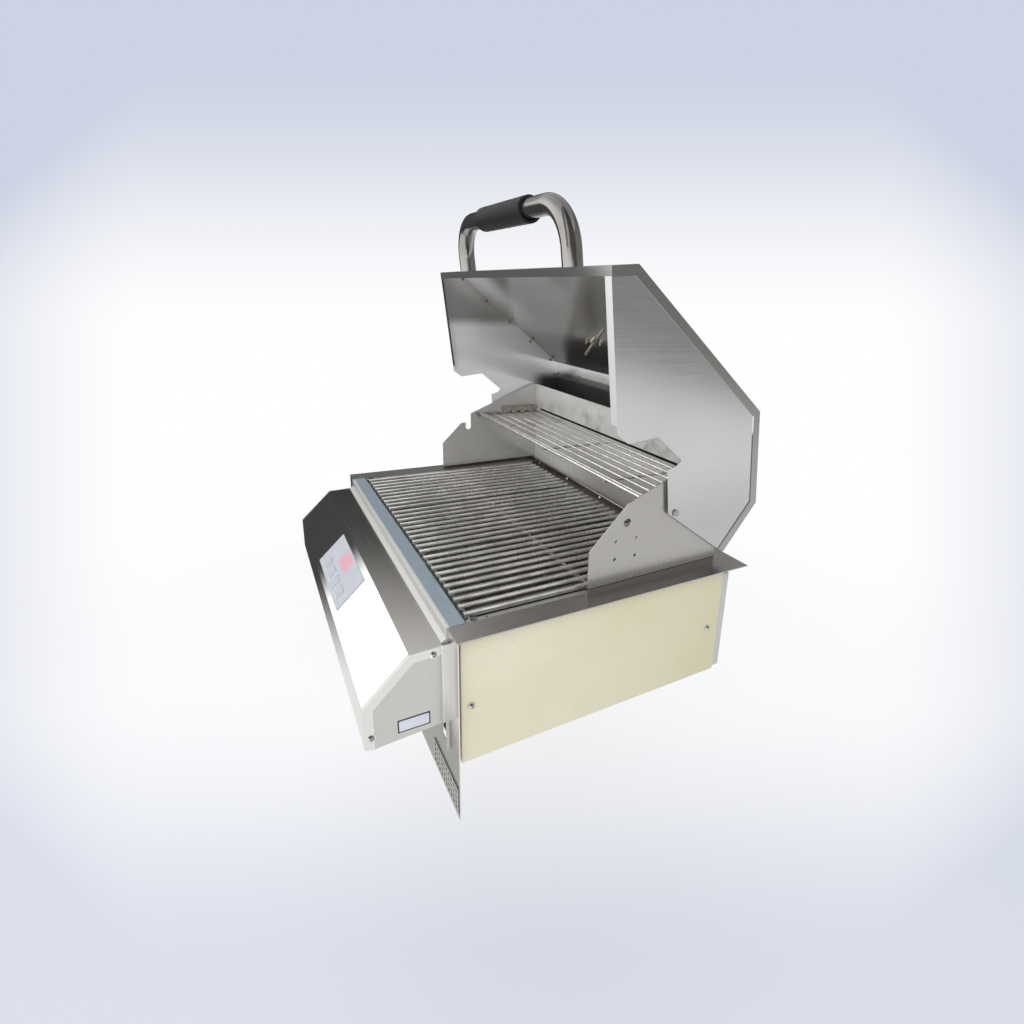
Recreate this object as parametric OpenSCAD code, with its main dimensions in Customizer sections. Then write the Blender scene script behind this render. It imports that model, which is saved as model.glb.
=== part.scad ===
// Built-in electric grill with an open hinged lid.
// X runs to the right, Y to the rear and Z up. The counter top is the plane Z = 0, and the
// flange lies on it with its front edge at Y = 0.

/* [Cooking grates] */
// Rods in one grate
rod_count = 10; // [8:1:12]
// Distance between neighbouring rods
rod_pitch = 20.2; // [18:0.2:22]
// Diameter of a grate rod
rod_d = 8.8; // [7:0.1:10]
// Length of a grate rod
rod_len = 380; // [360:5:400]
// Gap between the outer rods of neighbouring grates, from axis to axis
grate_gap = 24.2; // [20:0.2:30]
// Diameter of the cross bars under the rods
cross_d = 8; // [6:0.5:10]
// Depth that a cross bar is welded into the rods
cross_weld = 1.2; // [0.8:0.1:1.5]
// Distance from a rod's end to the axis of the nearest cross bar
cross_inset = 6; // [5:0.5:10]
// Height of the rods' top over the counter
rod_top = 8.2; // [6:0.1:10]
// How far the loose grates are pushed to the right
grate_shift = 10; // [-12:1:12]
// Room between the outer rods and the firebox side walls
grate_side_room = 23.2; // [21:0.2:30]

/* [Firebox] */
// Thickness of the firebox and wing sheet
sheet_t = 1.5; // [1:0.1:2]
// Inner face of the front wall, behind the flange front edge
firebox_front_y = 23.5; // [20:0.5:28]
// Gap from the front wall to the rods
rod_front_gap = 2.5; // [1.5:0.5:4]
// Gap from the rods to the rear wall
rod_rear_gap = 27; // [24:0.5:32]
// Depth of the firebox under the counter
firebox_h = 168; // [155:1:180]
// Width of the ledges that carry the grates
ledge_w = 14; // [12:0.5:18]
// Height of the ledges' upright leg
ledge_h = 16; // [12:1:20]
// Width of the strips along the firebox sides
side_strip_w = 12.5; // [10:0.5:16]

/* [Insulation and covers] */
// Thickness of the insulation boards
board_t = 19; // [14:0.5:22]
// Front edge of the side boards
board_front_y = 9; // [6:0.5:14]
// How far the side boards run past the firebox rear wall
board_rear_over = 7.5; // [5:0.5:10]
// Depth of the rear cover behind the side boards
cover_d = 17.5; // [14:0.5:22]
// How far the rear cover's side stands in from the board face
cover_side_in = 5; // [3:0.5:8]
// Height of the rear cover's top under the counter
cover_drop = 16; // [10:1:24]
// Distance of the front board screw from the board's front edge
board_screw_front = 13; // [10:1:20]
// Distance of the rear board screw from the board's rear edge
board_screw_rear = 22.5; // [16:0.5:30]
// Depth of the board screws under the counter
board_screw_drop = 103.5; // [90:0.5:115]
// Diameter of a board screw's washer
washer_d = 11; // [9:0.5:14]

/* [Counter flange] */
// Sheet thickness of the flange
flange_t = 1.5; // [1.2:0.1:2]
// How far the flange reaches past the side boards
flange_side_over = 15; // [10:1:25]
// How far the flange reaches past the rear cover
flange_rear_over = 18.5; // [12:0.5:28]
// How far the flange covers the firebox from the wall's outer face
flange_in = 4; // [3:0.5:6]

/* [Front plate and rail] */
// Height of the front plate
plate_h = 262; // [240:1:280]
// Thickness of the front plate
plate_t = 1.5; // [1.2:0.1:2]
// Width of a vent grille
vent_w = 104; // [90:1:110]
// Height of a vent grille
vent_h = 38; // [30:1:44]
// Distance of a vent grille from the plate's side edge
vent_side_in = 4; // [3:0.5:8]
// Distance of a vent grille from the plate's lower edge
vent_low_in = 8; // [6:0.5:14]
// Slots in one row of a vent grille
vent_cols = 10; // [6:1:12]
// Rows of slots in a vent grille
vent_rows = 4; // [2:1:5]
// Width of the bars between the slots
vent_bar = 3; // [2:0.5:4]
// Width of the knock-out hole beside the control housing
knock_w = 28; // [20:1:32]
// Height of the knock-out hole
knock_h = 44; // [30:1:48]
// Front edge of the film-covered strip
strip_front_y = 2.6; // [2:0.1:4]
// Thickness of the protective film
film_t = 0.4; // [0.3:0.1:0.6]

/* [Control housing] */
// Height of the housing top under the counter
box_drop = 18.5; // [16:0.5:24]
// Depth of the flat top, front to rear
box_top_d = 48; // [40:1:56]
// Fall of the flat top towards the ridge
box_top_fall = 1.5; // [1:0.1:3]
// Run of the slanted face
slope_run = 56; // [50:1:62]
// Drop of the slanted face
slope_drop = 56; // [50:1:62]
// Height of the upright front face
box_face_h = 58; // [50:1:66]
// Depth of the chin under the front face
chin_d = 12; // [8:1:16]
// Drop of the chin
chin_drop = 3; // [2:0.5:5]
// Rise of the housing floor from chin to rear
floor_rise = 6; // [3:0.5:9]
// Thickness of an end cap
cap_t = 5; // [4:0.5:7]
// Width of the raised rim of an end cap
cap_rim = 11.5; // [9:0.5:13]
// Width of the end cap's rear rim
cap_rear_rim = 9; // [7:0.5:12]
// Depth of the end cap's sunk field
cap_sink = 1.5; // [1:0.5:2]
// Distance of the upper cap screw from the front plate
cap_screw_rear = 19; // [16:0.5:24]
// Drop of the upper cap screw under the housing top
cap_screw_drop = 9.3; // [7:0.1:12]
// Distance of the lower cap screw from the front face
cap_screw_front = 7.7; // [6:0.1:10]
// Height of the lower cap screw over the chin
cap_screw_up = 15; // [12:0.5:20]

/* [Controls] */
// Width of the control overlay
overlay_w = 190; // [180:2:200]
// Height of the control overlay
overlay_h = 59; // [57:0.5:61]
// Distance from the ridge to the overlay
overlay_drop = 11; // [9:0.5:12]
// Thickness of the overlay
overlay_t = 1; // [0.8:0.1:1.4]
// Width of the display window
window_w = 55; // [48:1:60]
// Height of the display window
window_h = 24; // [20:0.5:25]
// Distance from the overlay's top to the window
window_drop = 3; // [2:0.5:4]
// Touch keys in the row under the window
key_count = 4; // [4:1:4]
// Width of a key
key_w = 24; // [20:1:28]
// Height of a key
key_h = 14; // [12:0.5:15]
// Distance between neighbouring keys
key_pitch = 38; // [34:1:42]
// Distance from the overlay's lower edge to the keys
key_up = 8; // [7:0.5:10]
// Travel of a key
key_travel = 1; // [0.6:0.1:1.2]

/* [Wings and back wall] */
// Front edge of the wings
wing_front_y = 198; // [190:1:205]
// Height of the wing's front edge
wing_front_h = 64; // [56:1:70]
// Height of the wings at the spit
wing_mid_h = 127; // [120:1:132]
// Height of the back wall and of the wings there
wall_h = 193.5; // [186:0.5:196]
// Length of the wings' level top at the back wall
wing_flat = 16; // [10:1:24]
// Distance of the spit axis behind the wing's front edge
spit_back = 61; // [56:1:64]
// Height of the spit axis
spit_z = 98.6; // [94:0.2:102]
// Diameter of the spit hole
spit_d = 12.7; // [10:0.1:14]
// Height of the left wing's shoulder in front of the notch
shoulder_h = 108.5; // [106:0.5:112]
// Width of the left wing's shoulder
shoulder_w = 10; // [8:0.5:12]
// Hole distance of the motor bracket along the depth
bracket_dy = 35; // [30:0.5:40]
// Hole distance of the motor bracket along the height
bracket_dz = 27; // [22:0.5:30]
// Diameter of the bracket holes
bracket_hole_d = 5.2; // [4:0.1:6]
// Distance from the spit axis down to the middle of the bracket holes
bracket_drop = 40; // [38:0.5:44]
// Height of the back wall's long slot
slot_z = 135.5; // [132:0.5:140]
// Width of the long slot
slot_h = 5; // [3:0.5:8]
// Distance from the long slot's end to the wing
slot_end_in = 22; // [16:1:30]
// Gap between the rear deflector and the back wall
deflector_gap = 7.5; // [6:0.5:9]
// Height of the rear deflector over the counter
deflector_h = 11.5; // [9:0.5:14]
// Distance between the deflector screws
deflector_pitch = 139; // [120:1:150]

/* [Warming rack] */
// Rungs of the rack
rung_count = 7; // [5:1:7]
// Distance between the rungs
rung_pitch = 22; // [18:0.5:22]
// Diameter of a rung
rung_d = 4; // [3.5:0.1:5]
// Distance from the last rung to the back wall
rung_rear_gap = 7; // [5:0.5:10]
// Distance from the front frame wire to the first rung
front_wire_gap = 8.5; // [7:0.5:12]
// Height of the ledge that carries the rack
rack_ledge_z = 127; // [122:0.5:130]
// Width of the rack ledge
rack_ledge_w = 12; // [9:0.5:15]
// Height of the rail's upright leg over the ledge
rack_rail_h = 16; // [13:0.5:20]
// Depth of the tall part of the rail's leg, from the back wall
rack_rail_d = 92; // [80:1:100]
// Height of the rail's low leg in front
rack_toe_h = 4; // [3:0.5:6]
// Gap between a wing and its rail's upright leg
rack_rail_off = 5; // [3:0.5:7]
// Distance between the rack's cross wires
rack_cross_pitch = 209; // [180:1:220]
// How far the middle cross wire stands right of centre
rack_cross_shift = 14; // [0:1:20]

/* [Lid] */
// Thickness of the lid sheet
lid_t = 1.2; // [1:0.1:1.5]
// Gap between a wing and the lid's side panel
lid_side_gap = 5.1; // [4:0.1:7]
// Height of the closed lid's lower edge
lid_lift = 7.4; // [7.2:0.1:9]
// How far the closed lid stands in front of the flange
lid_front_over = 8; // [4:0.5:12]
// Height of the lid's front face
lid_face_h = 40; // [40:0.5:44]
// Run of the lid's slanted face
lid_slant_run = 224.5; // [210:0.5:235]
// Height of the closed lid's crown
lid_crown_z = 268; // [250:1:280]
// How far the closed lid's tail stands behind the back wall
lid_tail_over = 1.5; // [1.2:0.1:3]
// How far the closed lid's tail stands over the back wall
lid_tail_up = 4; // [3.8:0.1:6]
// Run of the lid's rear slope
lid_tail_run = 68; // [60:0.5:75]
// Width of the wrap sheet's side flanges
lid_flange = 13; // [11:0.5:16]
// Depth of the front hem
lid_hem = 12; // [9:0.5:12]
// Width of the side panels' lower lip
lid_lip_w = 14; // [10:0.5:14]
// Opening angle of the lid
lid_open = 83; // [80:1:85]
// Distance of the pivot in front of the back wall's rear face
pivot_in = 94.2; // [92:0.2:98]
// Height of the pivot
pivot_z = 102.9; // [98:0.1:104]
// Diameter of the pivot pin
pivot_d = 6; // [5:0.5:8]
// Rivets along the slanted edge on each side
slant_rivets = 5; // [3:1:6]

/* [Handle] */
// Outer diameter of the handle tube
tube_d = 30; // [28:0.1:34]
// Wall of the handle tube
tube_wall = 1.5; // [1.2:0.1:2.5]
// Distance between the handle legs
handle_w = 416; // [380:2:460]
// Distance from the lid's face to the handle axis
handle_reach = 85; // [78:1:96]
// Bend radius of the handle
handle_bend = 62; // [50:1:66]
// Height of the handle over the lid's lower edge
handle_up = 18; // [17:0.5:22]
// Length of the grip
grip_len = 180; // [160:2:210]
// Outer diameter of the grip
grip_d = 41; // [38:0.5:44]

/* [Thermometer] */
// Diameter of the thermometer case
case_d = 76; // [66:1:80]
// Height of the thermometer case
case_h = 14; // [12:0.5:16]
// Distance from the slanted face's lower edge to the thermometer
case_at = 192; // [150:1:230]
// Length of the stem inside the lid
stem_len = 30; // [20:1:60]
// Diameter of the stem
stem_d = 6; // [5:0.5:8]
// Distance between the two mounting studs
stud_pitch = 48; // [40:1:52]

/* [Heat] */
// Diameter of a heating element's tube
element_d = 8; // [6:0.5:9]
// Distance between the legs of an element
element_pitch = 44; // [36:1:46]
// Depth of the elements under the counter
element_drop = 45; // [38:1:55]
// Height of the drip pan
pan_h = 38; // [30:1:45]
// Room between the pan and the firebox walls
pan_room = 26; // [20:1:35]

/* [Hidden] */
$fn = 48;

// One overrun for all cuts, and the small gaps that keep moving pieces clear
over = 1;
seat_gap = 0.3;
turn_gap = 0.05;

// Firebox sizes that follow from the grates
grate_w = (rod_count - 1) * rod_pitch;
section_pitch = grate_w + grate_gap;
grates_w = section_pitch + section_pitch + grate_w + rod_d;
firebox_in_w = grates_w + 2 * grate_side_room;
firebox_w = firebox_in_w + 2 * sheet_t;
rear_in_y = firebox_front_y + rod_front_gap + rod_len + rod_rear_gap;
rear_out_y = rear_in_y + sheet_t;
floor_z = -firebox_h;
rod_front_y = firebox_front_y + rod_front_gap;
rod_z = rod_top - rod_d / 2;
cross_z = rod_z - rod_d / 2 - cross_d / 2 + cross_weld;
ledge_z = cross_z - cross_d / 2 - seat_gap;
side_hole_y = rod_front_y + rod_d + sheet_t;
side_hole_pitch = 17;
side_hole_d = [9, 4];

// Covers
board_out_x = firebox_w / 2 + board_t;
board_rear_y = rear_out_y + board_rear_over;
board_low_z = floor_z - board_t;
cover_x = board_out_x - cover_side_in;
cover_rear_y = board_rear_y + cover_d;
flange_w = 2 * (board_out_x + flange_side_over);
flange_d = cover_rear_y + flange_rear_over;
opening_x = firebox_w / 2 - flange_in;
board_screw_head = 7.5;
board_screw_core = 4;
gland_d = 26;
gland_bore = 12;
gland_len = 16;
gland_x = -280;
gland_up = 36;
gland_nut = 34;

// Front
rail_ledge = 8;
rail_face = 13;
rail_round = 1;
box_rear_z = -box_drop;
ridge = [-box_top_d, box_rear_z - box_top_fall];
brow = ridge - [slope_run, slope_drop];
jaw = brow - [0, box_face_h];
chin = jaw + [chin_d, -chin_drop];
heel = [0, chin[1] + floor_rise];
housing_path = [[0, box_rear_z], ridge, brow, jaw, chin, heel];
housing_half = opening_x;
slope_angle = atan2(slope_drop, slope_run);
wire_hole_w = 180;
wire_hole_h = 40;
wire_hole_z = (box_rear_z + heel[1]) / 2;
vent_margin = 4;
knock_x = housing_half - knock_w / 2 - sheet_t;
knock_z = heel[1] - vent_margin - knock_h / 2;
knock_lip = 4;
cap_screw_spots = [[-cap_screw_rear, box_rear_z - cap_screw_drop],
                   jaw + [cap_screw_front, cap_screw_up]];
cap_screw_head = 8.5;
cap_screw_core = 3.5;
cap_screw_len = 12;
plate_label = [40, 18];
plate_label_t = 0.4;
label_up = 14.5;
label_back = 45;

// Controls
key_row_y = -overlay_drop - overlay_h + key_up + key_h / 2;
window_y = -overlay_drop - window_drop - window_h / 2;
key_gap = 0.4;
key_proud = 0.6;
key_brim = 1.5;
key_brim_t = 1.2;
key_stem = 6;
pcb = [168, 46, 1.6];
pcb_deep = 14;
pcb_y = -overlay_drop - overlay_h / 2;
pillar_d = 6;
pillar_in = 6;
display_block = [50, 18, 6];
relay = [28, 14, 10];
lens_brim = 2;

// Wings, spit and pivot
spit_y = wing_front_y + spit_back;
wall_low = flange_t;
pivot_y = rear_out_y - pivot_in;
wing_in_x = firebox_w / 2 - sheet_t;
wing_out_x = firebox_w / 2;
deflector_y = rear_in_y - deflector_gap;
deflector_low = 8;
deflector_hem = 3;
deflector_screw_z = 5;
deflector_screw_d = 5;
deflector_head = 8;
deflector_head_t = 2.5;

// Rack
last_rung_y = rear_in_y - rung_rear_gap;
first_rung_y = last_rung_y - (rung_count - 1) * rung_pitch;
front_wire_y = first_rung_y - front_wire_gap;
front_wire_d = rung_d + 1;
rung_z = rack_ledge_z + seat_gap + rung_d / 2;
rack_weld = 0.6;
rack_end_gap = 2;
cross_wire_z = rung_z - rung_d + rack_weld;
rail_x = wing_in_x - rack_rail_off - sheet_t;
rack_half = rail_x - rack_end_gap;
rack_slot = [13, 6];
rack_slot_up = 1;
rack_rivet_d = 5;
rack_rivet_pitch = 31;
rack_rail_front = front_wire_y - rack_slot[0] / 2 - 2 * sheet_t;

// Lid, drawn closed and then turned open
lid_in_x = wing_out_x + lid_side_gap;
lid_side_x = lid_in_x + lid_t;
lid_out_x = lid_side_x + lid_t;
lid_front = -lid_front_over;
lid_toe = [lid_front, lid_lift];
lid_brow = [lid_front, lid_lift + lid_face_h];
lid_crest = [lid_front + lid_slant_run, lid_crown_z];
lid_tail = [rear_out_y + lid_tail_over, wall_h + lid_tail_up];
lid_crown = [lid_tail[0] - lid_tail_run, lid_crown_z];
lid_path = [lid_toe, lid_brow, lid_crest, lid_crown, lid_tail];
hem_path = concat([lid_toe + [lid_hem, 0]], lid_path);
slant_angle = atan2(lid_crest[1] - lid_brow[1], lid_slant_run);
slant_len = norm(lid_crest - lid_brow);
heel_back = [2, 13.2];
heel_run = 68.5;
notch_slope = 16;
notch_over = [2, 15.5];
notch_reach = [43.5, 41.5];
notch_drop = 49;
lip_end_in = 8;
lid_heel = [pivot_y, pivot_z] - heel_back;
notch_top = [spit_y, spit_z] + notch_over;
notch_low = notch_top - notch_reach;
notch_foot = notch_low - [0, notch_drop];
lip_end_y = wing_front_y - lip_end_in;
rivet_d = 7;
rivet_core = 4;
rivet_in = 6.5;
rivet_end = 16;
slant_rivet_pitch = (slant_len - 2 * rivet_end) / (slant_rivets - 1);
crown_rivet_share = 0.2;

// Hinge
pin_head_d = 10;
pin_head_t = 2.5;
pin_gap = 0.2;
nut_t = 4.5;
nut_d = 11;
bush_d = 14;
stop_w = 40;
stop_d = 11;
stop_x = 250;
tail_open = turned(lid_tail);

// Handle
handle_z = lid_lift + handle_up;
handle_y = lid_front - handle_reach;
grip_gap = 0.1;
grip_round = 2;
bolt_d = 8;
bolt_head_d = 14;
bolt_head_t = 5;
plug_len = 14;

// Thermometer
case_wall = 2.5;
case_base = 3;
bezel_w = 4;
glass_t = 2;
glass_up = 10;
pointer_t = 0.8;
pointer_up = 5;
pointer_len = 27;
pointer_w = 2.4;
pointer_hub = 7;
pointer_shaft = 3;
stem_nut_d = 17;
stem_nut_t = 6;
stud_d = 4;
stud_nut_d = 9;
stud_len = 7;

// Heat
element_x = [-section_pitch + grate_shift, grate_shift, section_pitch + grate_shift];
element_z = -element_drop;
element_rear_in = 70;
element_front_in = 60;
terminal_y = 9;
terminal_d = 4;
terminal_len = 5;
bush_out = 14;
bush_len = 8;
rest_t = 2;
rest_h = 18;
rest_in = 120;
pan_t = 1.2;
pan_rim = 8;

function unit(v) = v / norm(v);
function left_of(v) = [-v[1], v[0]];

// Point i of an open path, moved t to its left and mitred
function moved(p, i, t) =
    let(a = i > 0 ? unit(p[i] - p[i - 1]) : unit(p[i + 1] - p[i]),
        b = i < len(p) - 1 ? unit(p[i + 1] - p[i]) : a)
    p[i] + (left_of(a) + left_of(b)) * t / (1 + left_of(a) * left_of(b));

// Outline of a folded sheet that follows a path
function folded(p, t) = concat(p, [for (i = [len(p) - 1:-1:0]) moved(p, i, t)]);

// A closed outline, drawn in by t on every side
function inset(p, t) =
    let(n = len(p))
    [for (i = [0:n - 1])
        let(a = unit(p[i] - p[(i + n - 1) % n]), b = unit(p[(i + 1) % n] - p[i]))
        p[i] + (left_of(a) + left_of(b)) * t / (1 + left_of(a) * left_of(b))];

// Where a point of the closed lid stands when the lid is open
function turned(q) =
    let(d = q - [pivot_y, pivot_z])
    [pivot_y + d[0] * cos(lid_open) + d[1] * sin(lid_open),
     pivot_z - d[0] * sin(lid_open) + d[1] * cos(lid_open)];

// A block given by its two corners
module block(low, high) {
    translate(low) cube(high - low);
}

// Extrudes a side view (Y to the right, Z up) along X from x
module across(x, length) {
    translate([x, 0, 0]) rotate([90, 0, 90]) linear_extrude(height = length) children();
}

// The piece and its mirror image on the other side
module both_sides() {
    children();
    mirror([1, 0, 0]) children();
}

// A round bar along X, Y or Z, starting at a point
module bar_x(start, d, length) {
    translate(start) rotate([0, 90, 0]) cylinder(d = d, h = length);
}
module bar_y(start, d, length) {
    translate(start) rotate([-90, 0, 0]) cylinder(d = d, h = length);
}

// A domed screw or rivet head that rises along +Z
module dome(d, h) {
    r = (d * d / 4 + h * h) / (2 * h);
    intersection() {
        translate([0, 0, h - r]) sphere(r = r);
        cylinder(d = d + over, h = h);
    }
}

// Turns a closed-lid piece to where it stands at rest
module opened() {
    translate([0, pivot_y, pivot_z]) rotate([-lid_open, 0, 0]) translate([0, -pivot_y, -pivot_z])
        children();
}

// Frames on the housing's slanted face and on the lid's slanted face
module on_slope() {
    translate([0, ridge[0], ridge[1]]) rotate([slope_angle, 0, 0]) children();
}
module on_slant() {
    translate([0, lid_brow[0], lid_brow[1]]) rotate([slant_angle, 0, 0]) children();
}

// Stainless firebox: side walls, rear wall, floor and an inner front wall
module firebox() {
    color("#6d6a66") difference() {
        union() {
            both_sides() block([wing_in_x, plate_t, floor_z], [wing_out_x, rear_out_y, 0]);
            block([-wing_in_x, rear_in_y, floor_z], [wing_in_x, rear_out_y, 0]);
            block([-wing_in_x, plate_t, floor_z], [wing_in_x, rear_in_y, floor_z + sheet_t]);
            block([-wing_in_x, firebox_front_y - sheet_t, floor_z],
                  [wing_in_x, firebox_front_y, 0]);
        }
        for (x = element_x, s = [-1, 1])
            bar_y([x + s * 1.5 * element_pitch, firebox_front_y - sheet_t - over, element_z],
                  bush_out, sheet_t + 2 * over);
    }
}

// Angle strips on the front and rear walls that carry the grates' end bars, and the flat
// strips along the side walls
module grate_ledges() {
    color("#8b8884") {
        both_sides() difference() {
            block([wing_in_x - side_strip_w, rod_front_y, -sheet_t],
                  [wing_in_x, rear_in_y, 0]);
            for (i = [0, 1])
                translate([wing_in_x - side_strip_w / 2 - sheet_t,
                           side_hole_y + i * side_hole_pitch, -sheet_t - over])
                    cylinder(d = side_hole_d[i], h = sheet_t + 2 * over);
        }
        block([-wing_in_x, firebox_front_y, ledge_z - sheet_t],
              [wing_in_x, firebox_front_y + ledge_w, ledge_z]);
        block([-wing_in_x, firebox_front_y, ledge_z - ledge_h],
              [wing_in_x, firebox_front_y + sheet_t, ledge_z - sheet_t]);
        block([-wing_in_x, rear_in_y - rod_rear_gap - ledge_w, ledge_z - sheet_t],
              [wing_in_x, rear_in_y, ledge_z]);
        block([-wing_in_x, rear_in_y - sheet_t, ledge_z - ledge_h],
              [wing_in_x, rear_in_y, ledge_z - sheet_t]);
    }
}

module side_board() {
    color("#ddd8b8")
        difference() {
            block([wing_out_x, board_front_y, board_low_z], [board_out_x, board_rear_y, 0]);
            board_screw_places() cylinder(d = board_screw_core, h = board_t + 2 * over,
                                          center = true);
        }
}

// Places the children on the middle of a side board's screw holes, along X
module board_screw_places() {
    for (y = [board_front_y + board_screw_front, board_rear_y - board_screw_rear])
        translate([(wing_out_x + board_out_x) / 2, y, -board_screw_drop]) rotate([0, 90, 0])
            children();
}

module insulation_left() { mirror([1, 0, 0]) side_board(); }
module insulation_right() { side_board(); }

module insulation_base() {
    color("#d6d0ae")
        block([-wing_out_x, board_front_y, board_low_z], [wing_out_x, board_rear_y, floor_z]);
}

module insulation_rear() {
    color("#d6d0ae") difference() {
        block([-wing_out_x, rear_out_y, floor_z],
              [wing_out_x, cover_rear_y - sheet_t, -cover_drop - sheet_t]);
        bar_y([gland_x, rear_out_y - over, floor_z + gland_up], gland_bore, cover_d * 2);
    }
}

// Pan-head screws with large washers in the side boards
module board_screws() {
    color("#c9c9c6") both_sides() board_screw_places() {
        translate([0, 0, board_t / 2]) cylinder(d = washer_d, h = sheet_t);
        translate([0, 0, board_t / 2 + sheet_t]) dome(board_screw_head, board_screw_head / 3);
        translate([0, 0, -board_t / 2]) cylinder(d = board_screw_core, h = board_t);
    }
}

// Folded light-grey cover over the rear insulation
module rear_cover() {
    color("#b9bbbb") difference() {
        block([-cover_x, board_rear_y, board_low_z], [cover_x, cover_rear_y, -cover_drop]);
        block([-cover_x + sheet_t, board_rear_y - over, board_low_z + sheet_t],
              [cover_x - sheet_t, cover_rear_y - sheet_t, -cover_drop - sheet_t]);
        bar_y([gland_x, board_rear_y, floor_z + gland_up], gland_bore, cover_d + over);
    }
}

// Gland where the supply cable enters
module supply_gland() {
    color("#2a2b2d") translate([gland_x, cover_rear_y, floor_z + gland_up]) rotate([-90, 0, 0])
        difference() {
            union() {
                cylinder(d = gland_nut, h = gland_len / 3, $fn = 6);
                cylinder(d = gland_d, h = gland_len);
            }
            translate([0, 0, -over]) cylinder(d = gland_bore, h = gland_len + 2 * over);
        }
}

// Flange that rests on the counter at both sides and at the rear
module counter_flange() {
    color("#5a5856") {
        both_sides() block([opening_x, 0, 0], [flange_w / 2, flange_d, flange_t]);
        block([-opening_x, rear_out_y - flange_in, 0], [opening_x, flange_d, flange_t]);
    }
}

// Places the children on the lower left corner of each vent
module vent_places() {
    both_sides() translate([flange_w / 2 - vent_side_in - vent_w, 0, vent_low_in - plate_h])
        children();
}

// Front plate with vent openings, knock-out holes and the wire opening
module front_plate() {
    color("#a9a8a5") {
        difference() {
            block([-flange_w / 2, 0, -plate_h], [flange_w / 2, plate_t, 0]);
            vent_places() block([vent_margin, -over, vent_margin],
                                [vent_w - vent_margin, plate_t + over, vent_h - vent_margin]);
            both_sides() block([knock_x - knock_w / 2, -over, knock_z - knock_h / 2],
                               [knock_x + knock_w / 2, plate_t + over, knock_z + knock_h / 2]);
            block([-wire_hole_w / 2, -over, wire_hole_z - wire_hole_h / 2],
                  [wire_hole_w / 2, plate_t + over, wire_hole_z + wire_hole_h / 2]);
        }
        both_sides() block([knock_x + knock_w / 2, -knock_lip, knock_z - knock_h / 2],
                           [knock_x + knock_w / 2 + sheet_t, 0, knock_z + knock_h / 2]);
    }
}

// Slotted grilles over the vent openings
module vent_grilles() {
    cell_w = (vent_w - vent_bar) / vent_cols;
    cell_h = (vent_h - vent_bar) / vent_rows;
    color("#8d8c89") vent_places() difference() {
        block([0, -plate_t, 0], [vent_w, 0, vent_h]);
        for (i = [0:vent_cols - 1], k = [0:vent_rows - 1])
            translate([vent_bar + i * cell_w, 0, vent_bar + k * cell_h])
                block([0, -plate_t - over, 0], [cell_w - vent_bar, over, cell_h - vent_bar]);
    }
}

// Bright rail between the control housing and the front strip
module front_rail() {
    color("#dededb") across(-housing_half, 2 * housing_half)
        polygon([[strip_front_y, flange_t], [-rail_round / 2, flange_t],
                 [-plate_t, flange_t - rail_round], [-plate_t, -rail_face],
                 [-rail_ledge, box_rear_z + sheet_t], [-rail_ledge, box_rear_z],
                 [0, box_rear_z], [0, 0], [strip_front_y, 0]]);
}

// Flat strip in front of the grates
module front_strip() {
    color("#b5b5b2")
        block([-opening_x, strip_front_y, 0], [opening_x, firebox_front_y, flange_t]);
}

// Blue protective film on the strip
module strip_film() {
    color("#8494a0")
        block([-opening_x, strip_front_y, flange_t],
              [opening_x, firebox_front_y, flange_t + film_t]);
}

// Folded housing of the controls with a bulkhead at each end
module control_housing() {
    color("#9b9a98") difference() {
        union() {
            across(-housing_half, 2 * housing_half) polygon(folded(housing_path, sheet_t));
            both_sides() across(housing_half - sheet_t, sheet_t)
                polygon(inset(housing_path, sheet_t));
        }
        on_slope() block([-window_w / 2, window_y - window_h / 2, -sheet_t - over],
                         [window_w / 2, window_y + window_h / 2, over]);
        on_slope() for (i = [0:key_count - 1]) key_place(i)
            block([-key_w / 2 - key_gap, -key_h / 2 - key_gap, -sheet_t - over],
                  [key_w / 2 + key_gap, key_h / 2 + key_gap, over]);
        both_sides() cap_screw_places()
            translate([0, 0, -cap_screw_len]) cylinder(d = cap_screw_core, h = cap_screw_len);
        block([-housing_half - over, 0, heel[1] - sheet_t],
              [housing_half + over, sheet_t, box_rear_z + sheet_t]);
    }
}

// Places the children on an end cap's two screws, with Z out of the cap
module cap_screw_places() {
    for (q = cap_screw_spots)
        translate([housing_half + cap_t, q[0], q[1]]) rotate([0, 90, 0]) children();
}

// End cap with a raised rim round a sunk field that is open at the bottom
module end_cap() {
    rim = inset(housing_path, cap_rim);
    color("#b4b4b2") difference() {
        across(housing_half, cap_t) polygon(housing_path);
        across(housing_half + cap_t - cap_sink, cap_sink + over)
            difference() {
                polygon([[-cap_rear_rim, rim[0][1]], rim[1], rim[2], [rim[3][0], chin[1] - over],
                         [-cap_rear_rim, chin[1] - over]]);
                for (q = cap_screw_spots)
                    translate(q) circle(d = cap_screw_head + 2 * sheet_t);
            }
        cap_screw_places() translate([0, 0, -cap_t - over])
            cylinder(d = cap_screw_core, h = cap_t + 2 * over);
    }
}

module end_cap_left() { mirror([1, 0, 0]) end_cap(); }
module end_cap_right() { end_cap(); }

// Round-head screws of the end caps
module cap_screws() {
    color("#d2d2cf") both_sides() cap_screw_places() {
        dome(cap_screw_head, cap_screw_head / 3);
        translate([0, 0, -cap_screw_len]) cylinder(d = cap_screw_core, h = cap_screw_len);
    }
}

// Bare plate on the right end cap
module blank_plate() {
    color("#e8ebf0")
        block([housing_half + cap_t - cap_sink, -label_back - plate_label[0] / 2,
               heel[1] + label_up - plate_label[1] / 2],
              [housing_half + cap_t - cap_sink + plate_label_t,
               -label_back + plate_label[0] / 2, heel[1] + label_up + plate_label[1] / 2]);
}

module key_place(i) {
    translate([(i - (key_count - 1) / 2) * key_pitch, key_row_y, 0]) children();
}

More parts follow.
